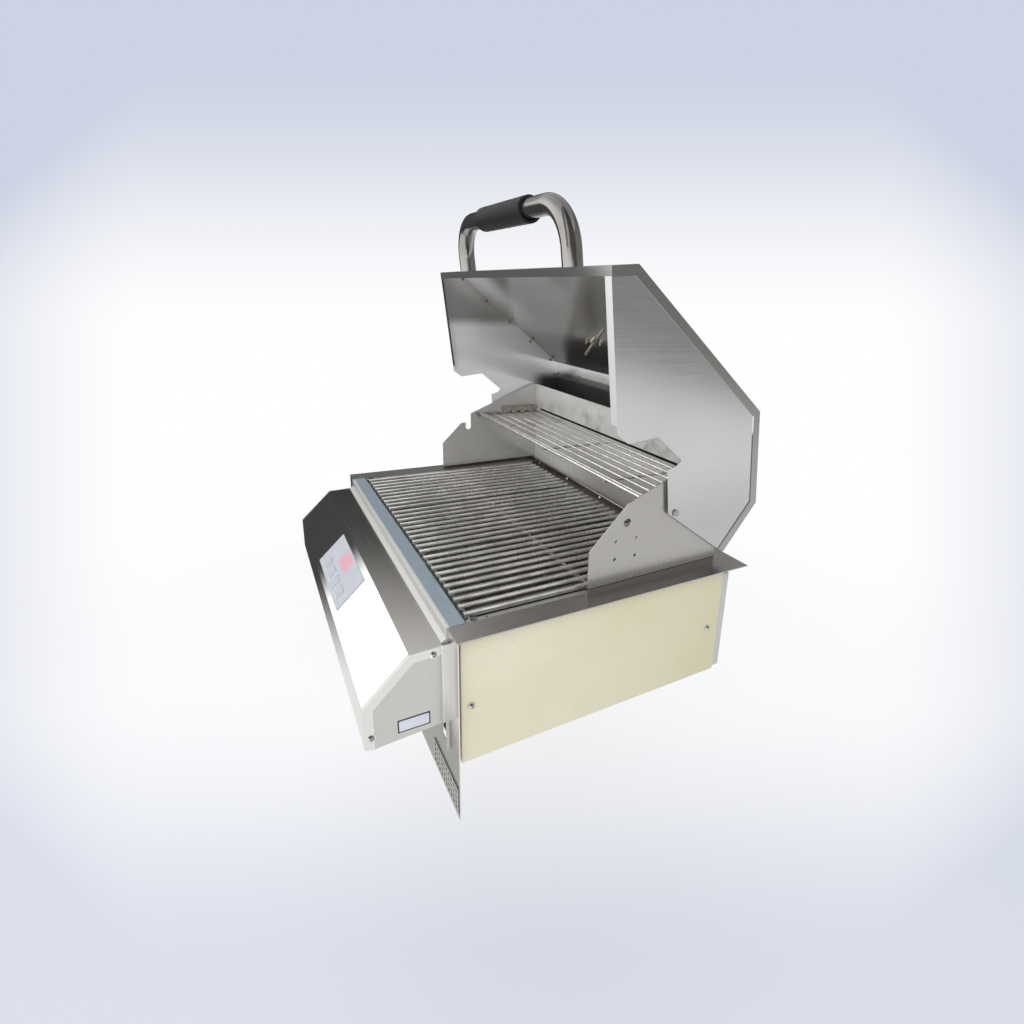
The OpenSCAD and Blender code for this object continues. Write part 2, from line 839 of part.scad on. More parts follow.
// Grey overlay on the slanted face, cut out for the window and the keys
module control_overlay() {
    color("#c4c8ce") on_slope() difference() {
        block([-overlay_w / 2, -overlay_drop - overlay_h, 0],
              [overlay_w / 2, -overlay_drop, overlay_t]);
        block([-window_w / 2, window_y - window_h / 2, -over],
              [window_w / 2, window_y + window_h / 2, overlay_t + over]);
        for (i = [0:key_count - 1]) key_place(i)
            block([-key_w / 2 - key_gap, -key_h / 2 - key_gap, -over],
                  [key_w / 2 + key_gap, key_h / 2 + key_gap, overlay_t + over]);
    }
}

// Pink display window with a brim behind the housing sheet
module display_window() {
    color("#e5b4bf") on_slope() {
        block([-window_w / 2, window_y - window_h / 2, -sheet_t],
              [window_w / 2, window_y + window_h / 2, overlay_t]);
        block([-window_w / 2 - lens_brim, window_y - window_h / 2 - lens_brim,
               -sheet_t - key_brim_t],
              [window_w / 2 + lens_brim, window_y + window_h / 2 + lens_brim, -sheet_t]);
    }
}

// Touch key: cap, brim behind the sheet and a stem towards the circuit board
module key(i) {
    color("#b7bcc4") on_slope() key_place(i) {
        block([-key_w / 2, -key_h / 2, -sheet_t - seat_gap],
              [key_w / 2, key_h / 2, overlay_t + key_proud]);
        block([-key_w / 2 - key_brim, -key_h / 2 - key_brim, -sheet_t - seat_gap - key_brim_t],
              [key_w / 2 + key_brim, key_h / 2 + key_brim, -sheet_t - seat_gap]);
        translate([0, 0, -pcb_deep + 2 * key_travel])
            cylinder(d = key_stem, h = pcb_deep - 2 * key_travel - sheet_t - key_brim_t);
    }
}

module key_1() { key(0); }
module key_2() { key(1); }
module key_3() { key(2); }
module key_4() { key(3); }

// Circuit board with its display block and two relays
module circuit_board() {
    color("#2f5a3c") on_slope() translate([0, pcb_y, -pcb_deep]) {
        difference() {
            block([-pcb[0] / 2, -pcb[1] / 2, -pcb[2]], [pcb[0] / 2, pcb[1] / 2, 0]);
            pillar_places() translate([0, 0, -pcb[2] - over])
                cylinder(d = pillar_d / 2, h = pcb[2] + 2 * over);
        }
        translate([0, window_y - pcb_y, 0])
            block([-display_block[0] / 2, -display_block[1] / 2, 0],
                  [display_block[0] / 2, display_block[1] / 2, display_block[2]]);
        both_sides() translate([pcb[0] / 4, 0, -pcb[2]])
            block([-relay[0] / 2, -relay[1] / 2, -relay[2]], [relay[0] / 2, relay[1] / 2, 0]);
    }
}

module pillar_places() {
    for (x = [-1, 1], y = [-1, 1])
        translate([x * (pcb[0] / 2 - pillar_in), y * (pcb[1] / 2 - pillar_in), 0]) children();
}

// Pillars that hold the circuit board behind the slanted face
module board_pillars() {
    color("#d8cf9a") on_slope() translate([0, pcb_y, 0]) pillar_places() {
        translate([0, 0, -pcb_deep]) cylinder(d = pillar_d, h = pcb_deep - sheet_t);
        translate([0, 0, -pcb_deep - pcb[2]]) cylinder(d = pillar_d / 2, h = pcb[2]);
    }
}

// Rear points that both wings share: the slope, the level top and the foot
wing_rear_path = [[rear_out_y - wing_flat, wall_h], [rear_out_y, wall_h], [rear_out_y, wall_low],
                  [wing_front_y, wall_low], [wing_front_y, wing_front_h]];

module pivot_hole(d) {
    bar_x([0, pivot_y, pivot_z], d, lid_out_x + over);
}

// Left wing with the open notch that the spit drops into
module wing_left() {
    slope = (wall_h - wing_mid_h) / (rear_out_y - wing_flat - spit_y);
    color("#8f8b84") mirror([1, 0, 0]) difference() {
        across(wing_in_x, sheet_t)
            polygon(concat([[spit_y - spit_d / 2 - shoulder_w, shoulder_h],
                            [spit_y - spit_d / 2, shoulder_h],
                            [spit_y - spit_d / 2, spit_z],
                            [spit_y + spit_d / 2, spit_z],
                            [spit_y + spit_d / 2, wing_mid_h + slope * spit_d / 2]],
                           wing_rear_path));
        bar_x([wing_in_x - over, spit_y, spit_z], spit_d, sheet_t + 2 * over);
        pivot_hole(pivot_d);
    }
}

// Right wing with the spit hole and the motor bracket's four holes
module wing_right() {
    color("#aaa9a6") difference() {
        across(wing_in_x, sheet_t) polygon(concat([[spit_y, wing_mid_h]], wing_rear_path));
        bar_x([wing_in_x - over, spit_y, spit_z], spit_d, sheet_t + 2 * over);
        for (y = [-1, 1], z = [-1, 1])
            bar_x([wing_in_x - over, spit_y + y * bracket_dy / 2,
                   spit_z - bracket_drop + z * bracket_dz / 2],
                  bracket_hole_d, sheet_t + 2 * over);
        pivot_hole(pivot_d);
    }
}

// Back wall with its long slot
module back_wall() {
    color("#b0aca4") difference() {
        block([-wing_in_x, rear_in_y, wall_low], [wing_in_x, rear_out_y, wall_h]);
        block([-wing_in_x + slot_end_in, rear_in_y - over, slot_z - slot_h / 2],
              [wing_in_x - slot_end_in, rear_out_y + over, slot_z + slot_h / 2]);
    }
}

// Low strip with a rolled top edge in front of the back wall's foot
module rear_deflector() {
    color("#9c9893") difference() {
        union() {
            block([-opening_x, deflector_y - sheet_t, ledge_z + deflector_low],
                  [opening_x, deflector_y, deflector_h]);
            bar_x([-opening_x, deflector_y - sheet_t / 2, deflector_h], deflector_hem,
                  2 * opening_x);
        }
        for (i = [-2:2])
            bar_y([i * deflector_pitch, deflector_y - sheet_t - over, deflector_screw_z],
                  deflector_screw_d, sheet_t + 2 * over);
    }
}

// Spacer screws that carry the deflector
module deflector_screws() {
    color("#c2bfb8") for (i = [-2:2])
        translate([i * deflector_pitch, deflector_y - sheet_t, deflector_screw_z])
            rotate([90, 0, 0]) {
                dome(deflector_head, deflector_head_t);
                translate([0, 0, -deflector_gap - sheet_t])
                    cylinder(d = deflector_screw_d, h = deflector_gap + sheet_t);
            }
}

// Slotted angle rails inside the wings, which carry the warming rack
module rack_rails() {
    color("#bdbab4") both_sides() difference() {
        union() {
            block([rail_x, rack_rail_front, rack_ledge_z],
                  [rail_x + sheet_t, rear_in_y, rack_ledge_z + rack_toe_h]);
            block([rail_x, rear_in_y - rack_rail_d, rack_ledge_z],
                  [rail_x + sheet_t, rear_in_y, rack_ledge_z + rack_rail_h]);
            block([wing_in_x - rack_ledge_w, rack_rail_front, rack_ledge_z - sheet_t],
                  [wing_in_x, rear_in_y, rack_ledge_z]);
        }
        for (i = [0:rung_count - 1])
            translate([0, first_rung_y + i * rung_pitch, rack_ledge_z + rack_slot_up])
                block([rail_x - over, -rack_slot[0] / 2, 0],
                      [rail_x + sheet_t + over, rack_slot[0] / 2, rack_slot[1]]);
        rivet_row() translate([0, 0, -over]) cylinder(d = rivet_core, h = sheet_t + 2 * over);
    }
}

// Places the children on the rail rivets, at the inner face of the rail's leg
module rivet_row() {
    for (i = [-1, 1])
        translate([rail_x, rear_in_y - rack_rail_d / 2 + i * rack_rivet_pitch / 2,
                   rack_ledge_z + rack_rail_h - rack_rivet_d / 2 - sheet_t])
            rotate([0, 90, 0]) children();
}

module rail_rivets() {
    color("#b49a5e") both_sides() rivet_row() {
        cylinder(d = rivet_core, h = rack_rail_off + sheet_t);
        mirror([0, 0, 1]) dome(rack_rivet_d, rack_rivet_d / 4);
    }
}

// Wire rack that lies on the rails and lifts out
module warming_rack() {
    color("#dcdcd8") {
        for (i = [0:rung_count - 1])
            bar_x([-rack_half, first_rung_y + i * rung_pitch, rung_z], rung_d, 2 * rack_half);
        bar_x([-rack_half, front_wire_y, rung_z + (front_wire_d - rung_d) / 2], front_wire_d,
              2 * rack_half);
        for (i = [-1:1])
            bar_y([rack_cross_shift + i * rack_cross_pitch, front_wire_y - front_wire_d / 2,
                   cross_wire_z], rung_d, last_rung_y - front_wire_y + front_wire_d);
    }
}

// One grate: rods from front to rear, welded on three cross bars
module grate(i) {
    x = element_x[i];
    mid = rod_front_y + rod_len / 2;
    color("#a5a4a1") {
        for (k = [0:rod_count - 1])
            bar_y([x - grate_w / 2 + k * rod_pitch, rod_front_y, rod_z], rod_d, rod_len);
        for (y = [rod_front_y + cross_inset, mid, rod_front_y + rod_len - cross_inset])
            bar_x([x - grate_w / 2 - rod_d / 2, y, cross_z], cross_d, grate_w + rod_d);
    }
}

module grate_left() { grate(0); }
module grate_centre() { grate(1); }
module grate_right() { grate(2); }

// One heating element: four legs joined by bends, with both ends through the front wall
module element(i) {
    bend = element_pitch / 2;
    rear = rear_in_y - element_rear_in;
    front = firebox_front_y + element_front_in;
    color("#4b4a49") translate([element_x[i], 0, element_z]) {
        for (s = [-1, 1]) {
            bar_y([s * 3 * bend, terminal_y, 0], element_d, rear - terminal_y);
            bar_y([s * 3 * bend, terminal_y - terminal_len, 0], terminal_d, terminal_len);
            bar_y([s * bend, front, 0], element_d, rear - front);
            translate([s * 2 * bend, rear, 0]) rotate_extrude(angle = 180)
                translate([bend, 0]) circle(d = element_d);
        }
        translate([0, front, 0]) rotate([0, 0, 180]) rotate_extrude(angle = 180)
            translate([bend, 0]) circle(d = element_d);
    }
}

module element_left() { element(0); }
module element_centre() { element(1); }
module element_right() { element(2); }

// Ceramic bushes where the elements pass the front wall
module element_bushes() {
    color("#e9e4d8") for (x = element_x, s = [-1, 1])
        translate([x + s * 1.5 * element_pitch, firebox_front_y - sheet_t / 2 - bush_len / 2,
                   element_z])
            rotate([-90, 0, 0]) difference() {
                cylinder(d = bush_out, h = bush_len);
                translate([0, 0, -over]) cylinder(d = element_d, h = bush_len + 2 * over);
            }
}

// Upright bars across the firebox that the elements lie on
module element_rests() {
    top = element_z - element_d / 2 - seat_gap;
    color("#77746f") for (y = [firebox_front_y + rest_in, rear_in_y - rest_in])
        block([-wing_in_x, y, top - rest_h], [wing_in_x, y + rest_t, top]);
}

// Drip pan on the firebox floor
module drip_pan() {
    x = wing_in_x - pan_room;
    front = firebox_front_y + pan_room;
    rear = rear_in_y - pan_room;
    low = floor_z + sheet_t + seat_gap;
    color("#8f8e8b") {
        difference() {
            block([-x, front, low], [x, rear, low + pan_h]);
            block([-x + pan_t, front + pan_t, low + pan_t],
                  [x - pan_t, rear - pan_t, low + pan_h + over]);
        }
        difference() {
            block([-x - pan_rim, front - pan_rim, low + pan_h - pan_t],
                  [x + pan_rim, rear + pan_rim, low + pan_h]);
            block([-x, front, low + pan_h - pan_t - over], [x, rear, low + pan_h + over]);
        }
    }
}

// Stops on the rear flange that the open lid's tail rests on
module lid_stops() {
    color("#2d2d2f") both_sides()
        block([stop_x - stop_w / 2, tail_open[0] - stop_d / 2, flange_t],
              [stop_x + stop_w / 2, tail_open[0] + stop_d / 2, tail_open[1] - seat_gap]);
}

// Shoulder screws that the lid turns on, each with a nut inside its wing
module hinge_pins() {
    color("#9d9c99") both_sides() {
        bar_x([wing_in_x - nut_t, pivot_y, pivot_z], pivot_d,
              lid_side_x + pin_gap - wing_in_x + nut_t);
        translate([lid_side_x + pin_gap, pivot_y, pivot_z]) rotate([0, 90, 0])
            cylinder(d = pin_head_d, h = pin_head_t);
        translate([wing_in_x - nut_t, pivot_y, pivot_z]) rotate([0, 90, 0])
            cylinder(d = nut_d, h = nut_t, $fn = 6);
    }
}

// Spacers between the wings and the lid's side panels
module hinge_bushes() {
    color("#c8a45a") both_sides() translate([wing_out_x, pivot_y, pivot_z]) rotate([0, 90, 0])
        difference() {
            cylinder(d = bush_d, h = lid_side_gap - pin_gap);
            translate([0, 0, -over]) cylinder(d = pivot_d, h = lid_side_gap + over);
        }
}

// Wrap sheet of the lid with its front hem and its side flanges
module lid_shell() {
    color("#c3c3c1") opened() difference() {
        union() {
            across(-lid_out_x, 2 * lid_out_x) polygon(folded(hem_path, -lid_t));
            both_sides() across(lid_side_x, lid_t) polygon(folded(lid_path, -lid_flange));
        }
        both_sides() bolt_place() cylinder(d = bolt_d, h = 2 * handle_reach, center = true);
        on_slant() translate([0, case_at, 0]) {
            cylinder(d = stem_d, h = 2 * case_h, center = true);
            stud_places() cylinder(d = stud_d, h = 2 * case_h, center = true);
        }
    }
}

// Side panel: slanted top edge, notch for the spit, heel behind the pivot, lower lip
module lid_side() {
    inner = [for (i = [0:len(lid_path) - 1]) moved(lid_path, i, -lid_t)];
    low = [inner[0][0], lid_lift];
    panel = concat([low], [for (i = [1:len(inner) - 1]) inner[i]],
        [lid_heel, lid_heel - [heel_run, 0], lid_heel + [-heel_run - 2 * lid_t, notch_slope],
         notch_top, notch_low, notch_foot,
         [notch_foot[0] - notch_slope + lid_t, lid_lift]]);
    color("#b3b4b5") opened() difference() {
        union() {
            across(lid_in_x, lid_t) polygon(panel);
            block([lid_in_x - lid_lip_w, lid_front + lid_hem, lid_lift],
                  [lid_in_x, lip_end_y, lid_lift + lid_t]);
        }
        block([lid_in_x - over, lid_front - over, lid_lift - over],
              [lid_in_x + lid_t + over, lid_front + lid_hem, lid_lift + lid_t]);
        pivot_hole(pivot_d + 2 * turn_gap);
        lid_rivet_places() cylinder(d = rivet_core, h = 2 * (lid_t + over), center = true);
    }
}

module lid_side_left() { mirror([1, 0, 0]) lid_side(); }
module lid_side_right() { lid_side(); }

// Places the children on the right side's rivets, at the face between panel and flange
module lid_rivet_places() {
    translate([lid_side_x, 0, 0]) {
        translate([0, lid_brow[0], lid_brow[1]]) rotate([slant_angle, 0, 0])
            for (i = [0:slant_rivets - 1])
                translate([0, rivet_end + i * slant_rivet_pitch, -rivet_in]) rotate([0, 90, 0])
                    children();
        for (s = [crown_rivet_share, 1 - crown_rivet_share])
            translate([0, lid_crest[0] + s * (lid_crown[0] - lid_crest[0]),
                       lid_crown_z - rivet_in])
                rotate([0, 90, 0]) children();
    }
}

module lid_rivets() {
    color("#d8d8d5") opened() both_sides() lid_rivet_places() {
        translate([0, 0, -lid_t]) cylinder(d = rivet_core, h = lid_t);
        translate([0, 0, -lid_t]) mirror([0, 0, 1]) dome(rivet_d, rivet_d / 4);
    }
}

// Places the children at a handle leg's foot, with Z out of the lid
module bolt_place() {
    translate([handle_w / 2, lid_front, handle_z]) rotate([90, 0, 0]) children();
}

module ring(outer, inner) {
    difference() {
        circle(d = outer);
        circle(d = inner);
    }
}

// Bent tube: two legs, two bends and the straight between them
module handle_tube() {
    inner = tube_d - 2 * tube_wall;
    leg = handle_reach - handle_bend;
    color("#d5d6d6") opened() {
        both_sides() {
            bolt_place() linear_extrude(height = leg) ring(tube_d, inner);
            translate([handle_w / 2 - handle_bend, lid_front - leg, handle_z])
                rotate([0, 0, -90]) rotate_extrude(angle = 90)
                    translate([handle_bend, 0]) ring(tube_d, inner);
        }
        translate([handle_bend - handle_w / 2, handle_y, handle_z]) rotate([0, 90, 0])
            linear_extrude(height = handle_w - 2 * handle_bend) ring(tube_d, inner);
    }
}

// Black sleeve on the middle of the handle
module handle_grip() {
    color("#1d1d1f") opened() translate([-grip_len / 2, handle_y, handle_z]) rotate([0, 90, 0])
        difference() {
            union() {
                cylinder(d1 = grip_d - 2 * grip_round, d2 = grip_d, h = grip_round);
                translate([0, 0, grip_round]) cylinder(d = grip_d, h = grip_len - 2 * grip_round);
                translate([0, 0, grip_len - grip_round])
                    cylinder(d1 = grip_d, d2 = grip_d - 2 * grip_round, h = grip_round);
            }
            translate([0, 0, -over])
                cylinder(d = tube_d + 2 * grip_gap, h = grip_len + 2 * over);
        }
}

// Hexagon bolts from inside the lid into plugs in the handle legs
module handle_bolts() {
    color("#b9b9b7") opened() both_sides() bolt_place() {
        cylinder(d = tube_d - 2 * tube_wall, h = plug_len);
        translate([0, 0, -lid_t]) cylinder(d = bolt_d, h = lid_t);
        translate([0, 0, -lid_t - bolt_head_t]) cylinder(d = bolt_head_d, h = bolt_head_t, $fn = 6);
    }
}

module stud_places() {
    for (s = [-1, 1]) translate([s * stud_pitch / 2, 0, 0]) children();
}

module on_case() {
    opened() on_slant() translate([0, case_at, 0]) children();
}

// Round case of the thermometer, open towards its glass
module thermometer_case() {
    color("#cfcfcd") on_case() difference() {
        cylinder(d = case_d, h = case_h);
        translate([0, 0, case_base]) cylinder(d = case_d - 2 * bezel_w, h = case_h);
        translate([0, 0, glass_up]) cylinder(d = case_d - 2 * case_wall, h = glass_t);
        translate([0, 0, -over]) cylinder(d = pointer_shaft + 2 * turn_gap, h = case_h);
    }
}

module thermometer_glass() {
    color("#dfe8ec") on_case() translate([0, 0, glass_up])
        cylinder(d = case_d - 2 * case_wall, h = glass_t);
}

// Pointer on its spindle, which turns in the case floor
module thermometer_pointer() {
    color("#b02a22") on_case() {
        translate([0, 0, pointer_up]) cylinder(d = pointer_hub, h = 2 * pointer_t);
        block([-pointer_w / 2, -pointer_hub, pointer_up],
              [pointer_w / 2, pointer_len, pointer_up + pointer_t]);
        translate([0, 0, seat_gap]) cylinder(d = pointer_shaft, h = pointer_up - seat_gap);
    }
}

// Stem with its brass nut, and the two studs with nuts
module thermometer_stem() {
    color("#c8a45a") on_case() {
        translate([0, 0, -stem_len - lid_t]) cylinder(d = stem_d, h = stem_len + lid_t);
        translate([0, 0, -lid_t - stem_nut_t]) cylinder(d = stem_nut_d, h = stem_nut_t, $fn = 6);
        stud_places() {
            translate([0, 0, -stud_len - lid_t]) cylinder(d = stud_d, h = stud_len + lid_t);
            translate([0, 0, -lid_t - stud_d]) cylinder(d = stud_nut_d, h = stud_d, $fn = 6);
        }
    }
}

firebox();
grate_ledges();
insulation_left();
insulation_right();
insulation_base();
insulation_rear();
board_screws();
rear_cover();
supply_gland();
counter_flange();
front_plate();
vent_grilles();
front_rail();
front_strip();
strip_film();
control_housing();
end_cap_left();
end_cap_right();
cap_screws();
blank_plate();
control_overlay();
display_window();
key_1();
key_2();
key_3();
key_4();
circuit_board();
board_pillars();
wing_left();
wing_right();
back_wall();
rear_deflector();
deflector_screws();
rack_rails();
rail_rivets();
warming_rack();
grate_left();
grate_centre();
grate_right();
element_left();
element_centre();
element_right();
element_bushes();
element_rests();
drip_pan();
lid_stops();
hinge_pins();
hinge_bushes();
lid_shell();
lid_side_left();
lid_side_right();
lid_rivets();
handle_tube();
handle_grip();
handle_bolts();
thermometer_case();
thermometer_glass();
thermometer_pointer();
thermometer_stem();
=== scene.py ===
# %% [markdown]
# A built-in electric grill stands here with its lid open. Its solids come from the CAD file, and this
# lesson gives them a finish, adds the small pieces that only the eye needs, and sets up camera and light.
# Each one sits at the origin with its place in its mesh, in metres.

# %% Frame
import bpy
import bmesh
import math
from mathutils import Matrix, Vector, noise


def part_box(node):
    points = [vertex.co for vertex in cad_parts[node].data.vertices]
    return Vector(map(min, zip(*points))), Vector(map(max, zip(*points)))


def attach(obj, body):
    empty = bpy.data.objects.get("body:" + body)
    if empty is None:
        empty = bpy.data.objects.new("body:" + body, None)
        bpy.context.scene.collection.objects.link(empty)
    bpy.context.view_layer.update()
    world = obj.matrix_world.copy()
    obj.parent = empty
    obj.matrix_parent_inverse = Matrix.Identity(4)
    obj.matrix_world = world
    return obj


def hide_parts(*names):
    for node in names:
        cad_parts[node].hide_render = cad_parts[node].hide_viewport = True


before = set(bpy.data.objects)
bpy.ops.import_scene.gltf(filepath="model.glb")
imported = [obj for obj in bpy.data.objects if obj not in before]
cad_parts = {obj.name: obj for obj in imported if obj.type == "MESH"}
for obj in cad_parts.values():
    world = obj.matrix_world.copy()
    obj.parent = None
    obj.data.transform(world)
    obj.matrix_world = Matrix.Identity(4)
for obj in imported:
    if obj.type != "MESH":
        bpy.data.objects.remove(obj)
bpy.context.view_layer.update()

MM = 0.001
RIGHT, REAR, UP = (1, 0, 0), (0, 1, 0), (0, 0, 1)
scene = bpy.context.scene

# %% [markdown]
# The camera comes first, because it decides which details are worth making. It stands at the right of
# the grill, nearly as high as the top of the open lid, and it is close, so the lens is short. A small
# shift moves the picture on the sensor without turning the camera.

# %% Camera
lens = bpy.data.cameras.new("studio_camera")
lens.lens = 20.007
lens.sensor_width = 36
lens.shift_x = -0.0766
lens.shift_y = -0.0456
lens.clip_start = 0.02
lens.clip_end = 60
camera = bpy.data.objects.new("studio_camera", lens)
camera.location = (0.9293, -0.1859, 0.3962)
camera.rotation_euler = [math.radians(a) for a in (73.83, -2.879, 58.73)]
scene.collection.objects.link(camera)
scene.camera = camera
grill_middle = Vector((0, 0.24, 0.1))
print("camera to the grill's middle:", round((camera.location - grill_middle).length, 3), "m")

# %% [markdown]
# Colours are written as sRGB hex codes, the way a paint shop or a picture editor gives them. A shader
# wants linear light, so one function turns each code round. A second small function adds a node, sets
# it up and links it. Every finish below is built from these two.

# %% Colour and nodes
def linear(code):
    """An sRGB hex code as a linear colour."""
    parts = [int(code[i:i + 2], 16) / 255 for i in (1, 3, 5)]
    return [p / 12.92 if p <= 0.04045 else ((p + 0.055) / 1.055) ** 2.4 for p in parts] + [1.0]


def add(tree, kind, inputs=None, **settings):
    """Adds a node; an input given as a socket is linked, any other value is set."""
    node = tree.nodes.new(kind)
    for name, value in settings.items():
        setattr(node, name, value)
    for name, value in (inputs or {}).items():
        if isinstance(value, bpy.types.NodeSocket):
            tree.links.new(value, node.inputs[name])
        else:
            node.inputs[name].default_value = value
    return node


def start_finish(name):
    """A bare material: itself, its tree, its shader and the object coordinates."""
    material = bpy.data.materials.new(name)
    material.use_nodes = True
    tree = material.node_tree
    tree.nodes.clear()
    shader = add(tree, "ShaderNodeBsdfPrincipled")
    add(tree, "ShaderNodeOutputMaterial", {"Surface": shader.outputs["BSDF"]})
    place = add(tree, "ShaderNodeTexCoord").outputs["Object"]
    return material, tree, shader, place


print("a middle grey, #808080, is", round(linear("#808080")[0], 3), "in linear light")

# %% [markdown]
# What the camera sees behind the grill is a pale backdrop: white behind the object, and a little blue
# towards the edges of the picture. It could be a large painted sheet, but the world itself is simpler
# and never too small. The tone follows how far a ray leans from the camera's own axis, sideways and
# upward. Each lean is a tangent, so 1.0 is 45 degrees off the axis.

# %% Backdrop
world = bpy.data.worlds.new("studio")
scene.world = world
world.use_nodes = True
sky = world.node_tree
sky.nodes.clear()
look = add(sky, "ShaderNodeTexCoord").outputs["Generated"]
turn = camera.rotation_euler.to_matrix()
ahead = add(sky, "ShaderNodeVectorMath", {0: look, 1: turn @ Vector((0, 0, -1))},
            operation="DOT_PRODUCT")
fades = []
# an axis of the camera, the lean at the white's middle, where the blue starts and is full, its most
for axis, middle, start, full, most in ((RIGHT, -0.138, 0.62, 1.12, 0.8), (REAR, -0.082, 0.30, 0.80, 1.0)):
    lean = add(sky, "ShaderNodeVectorMath", {0: look, 1: turn @ Vector(axis)},
               operation="DOT_PRODUCT")
    lean = add(sky, "ShaderNodeMath", {0: lean.outputs["Value"], 1: ahead.outputs["Value"]},
               operation="DIVIDE")
    lean = add(sky, "ShaderNodeMath", {0: lean.outputs["Value"], 1: middle}, operation="SUBTRACT")
    lean = add(sky, "ShaderNodeMath", {0: lean.outputs["Value"]}, operation="ABSOLUTE")
    lean = add(sky, "ShaderNodeMapRange", {"Value": lean.outputs["Value"], "From Min": start,
               "From Max": full, "To Max": most}, interpolation_type="SMOOTHSTEP")
    fades.append(lean.outputs["Result"])
fade = add(sky, "ShaderNodeMath", {0: fades[0], 1: fades[1]}, operation="ADD", use_clamp=True)
backdrop = add(sky, "ShaderNodeMix", {0: fade.outputs["Value"], 6: linear("#FFFFFF"),
               7: linear("#CDD3E4")}, data_type="RGBA")
print("the backdrop fades along", len(fades), "axes of the camera")

# %% [markdown]
# Steel has hardly a colour of its own: it shows the room. So the rays that a surface mirrors meet a
# studio. White paper lies low down, and a grey wall stands above it. There is a bright ceiling, a dark
# curtain at the left, a wide window high at the front, and the dark end of the room where the camera
# stands, with one narrow lamp in it. Without those, all sheets would look the same. Each of them is
# one soft edge along one direction, so a table holds them all.

# %% Room that the steel mirrors
level = add(sky, "ShaderNodeVectorMath", {0: look, 1: (1, 1, 0)}, operation="MULTIPLY")
level = add(sky, "ShaderNodeVectorMath", {0: level.outputs["Vector"]}, operation="NORMALIZE")
level = level.outputs["Vector"]
height = add(sky, "ShaderNodeVectorMath", {0: look, 1: UP}, operation="MULTIPLY")
raised = add(sky, "ShaderNodeVectorMath", {0: level, 1: height.outputs["Vector"]}, operation="ADD")
raised = raised.outputs["Vector"]
# the ray or its level part, a direction, where the edge starts and ends, the value before and after it
room_edges = {
    "paper": (look, (0, 0.23, 1), 0.045, -0.01, 0.32, 1.0),
    "ceiling": (look, (0, -0.3, 1), 0.33, 0.56, 0.0, 1.0),
    "curtain": (level, REAR, 0.55, 0.15, 0.0, 1.0),
    "curtain_side": (level, RIGHT, 0.001, -0.001, 0.0, 1.0),
    "curtain_tone": (look, UP, -0.43, -0.58, 0.06, 1.0),
    "window": (raised, (0.1736, -0.9848, 0.55), 0.30, 0.38, 0.0, 1.5),
    "booth": (level, (0.876, -0.482, 0), 0.55, 0.75, 0.0, 1.0),
    "booth_foot": (look, UP, -0.12, 0.0, 0.0, 1.0),
    "booth_tone": (level, (0.6, -0.8, 0), 0.965, 0.99, 0.09, 0.8),
}
room = {}
for name, (ray, way, start, full, before, after) in room_edges.items():
    along = add(sky, "ShaderNodeVectorMath", {0: ray, 1: way}, operation="DOT_PRODUCT")
    edge = add(sky, "ShaderNodeMapRange", {"Value": along.outputs["Value"], "From Min": start,
               "From Max": full, "To Min": before, "To Max": after}, interpolation_type="SMOOTHSTEP")
    room[name] = edge.outputs["Result"]
print("edges in the room:", ", ".join(room))

# %% [markdown]
# The edges are put together in the order in which they hide each other. The curtain hangs in front of
# the paper and the wall; the ceiling and the window outshine what is there; the dark end of the room
# lies over all of it, down to just below the horizon.

# %% World
curtain = add(sky, "ShaderNodeMath", {0: room["curtain"], 1: room["curtain_side"]},
              operation="MULTIPLY")
mirrored = add(sky, "ShaderNodeMix", {0: curtain.outputs["Value"], 2: room["paper"],
               3: room["curtain_tone"]})
mirrored = add(sky, "ShaderNodeMath", {0: mirrored.outputs[0], 1: room["ceiling"]},
               operation="MAXIMUM")
mirrored = add(sky, "ShaderNodeMath", {0: mirrored.outputs["Value"], 1: room["window"]},
               operation="MAXIMUM")
booth = add(sky, "ShaderNodeMath", {0: room["booth"], 1: room["booth_foot"]}, operation="MULTIPLY")
mirrored = add(sky, "ShaderNodeMix", {0: booth.outputs["Value"], 2: mirrored.outputs["Value"],
               3: room["booth_tone"]})
warm_white = (1.0, 0.995, 0.985)
mirrored = add(sky, "ShaderNodeVectorMath", {0: warm_white, "Scale": mirrored.outputs[0]},
               operation="SCALE")

rays = add(sky, "ShaderNodeLightPath")
even = add(sky, "ShaderNodeMix", {0: rays.outputs["Is Glossy Ray"], 6: linear("#DDDEE0"),
           7: mirrored.outputs["Vector"]}, data_type="RGBA")
seen = add(sky, "ShaderNodeMath", {0: rays.outputs["Is Camera Ray"],
           1: rays.outputs["Is Transmission Ray"]}, operation="MAXIMUM")
shown = add(sky, "ShaderNodeMix", {0: seen.outputs["Value"], 6: even.outputs[2],
            7: backdrop.outputs[2]}, data_type="RGBA")
emit = add(sky, "ShaderNodeBackground", {"Color": shown.outputs[2], "Strength": 1.0})
add(sky, "ShaderNodeOutputWorld", {"Surface": emit.outputs["Background"]})
scene.view_settings.view_transform = "Standard"
print("world nodes:", len(sky.nodes))

# %% [markdown]
# Two large soft lamps give the boards and the floor a gentle direction of light. They are wide, so
# their shadows have no hard edge. The steel doesn't mirror them, because the world above already holds
# everything that it mirrors.

# %% Lamps
def soft_lamp(name, place, target, size, power):
    """A square area lamp that faces a point."""
    lamp = bpy.data.lights.new(name, "AREA")
    lamp.size = size
    lamp.energy = power
    stand = bpy.data.objects.new(name, lamp)
    stand.location = place
    stand.rotation_euler = (Vector(target) - Vector(place)).to_track_quat("-Z", "Y").to_euler()
    stand.visible_glossy = False
    scene.collection.objects.link(stand)


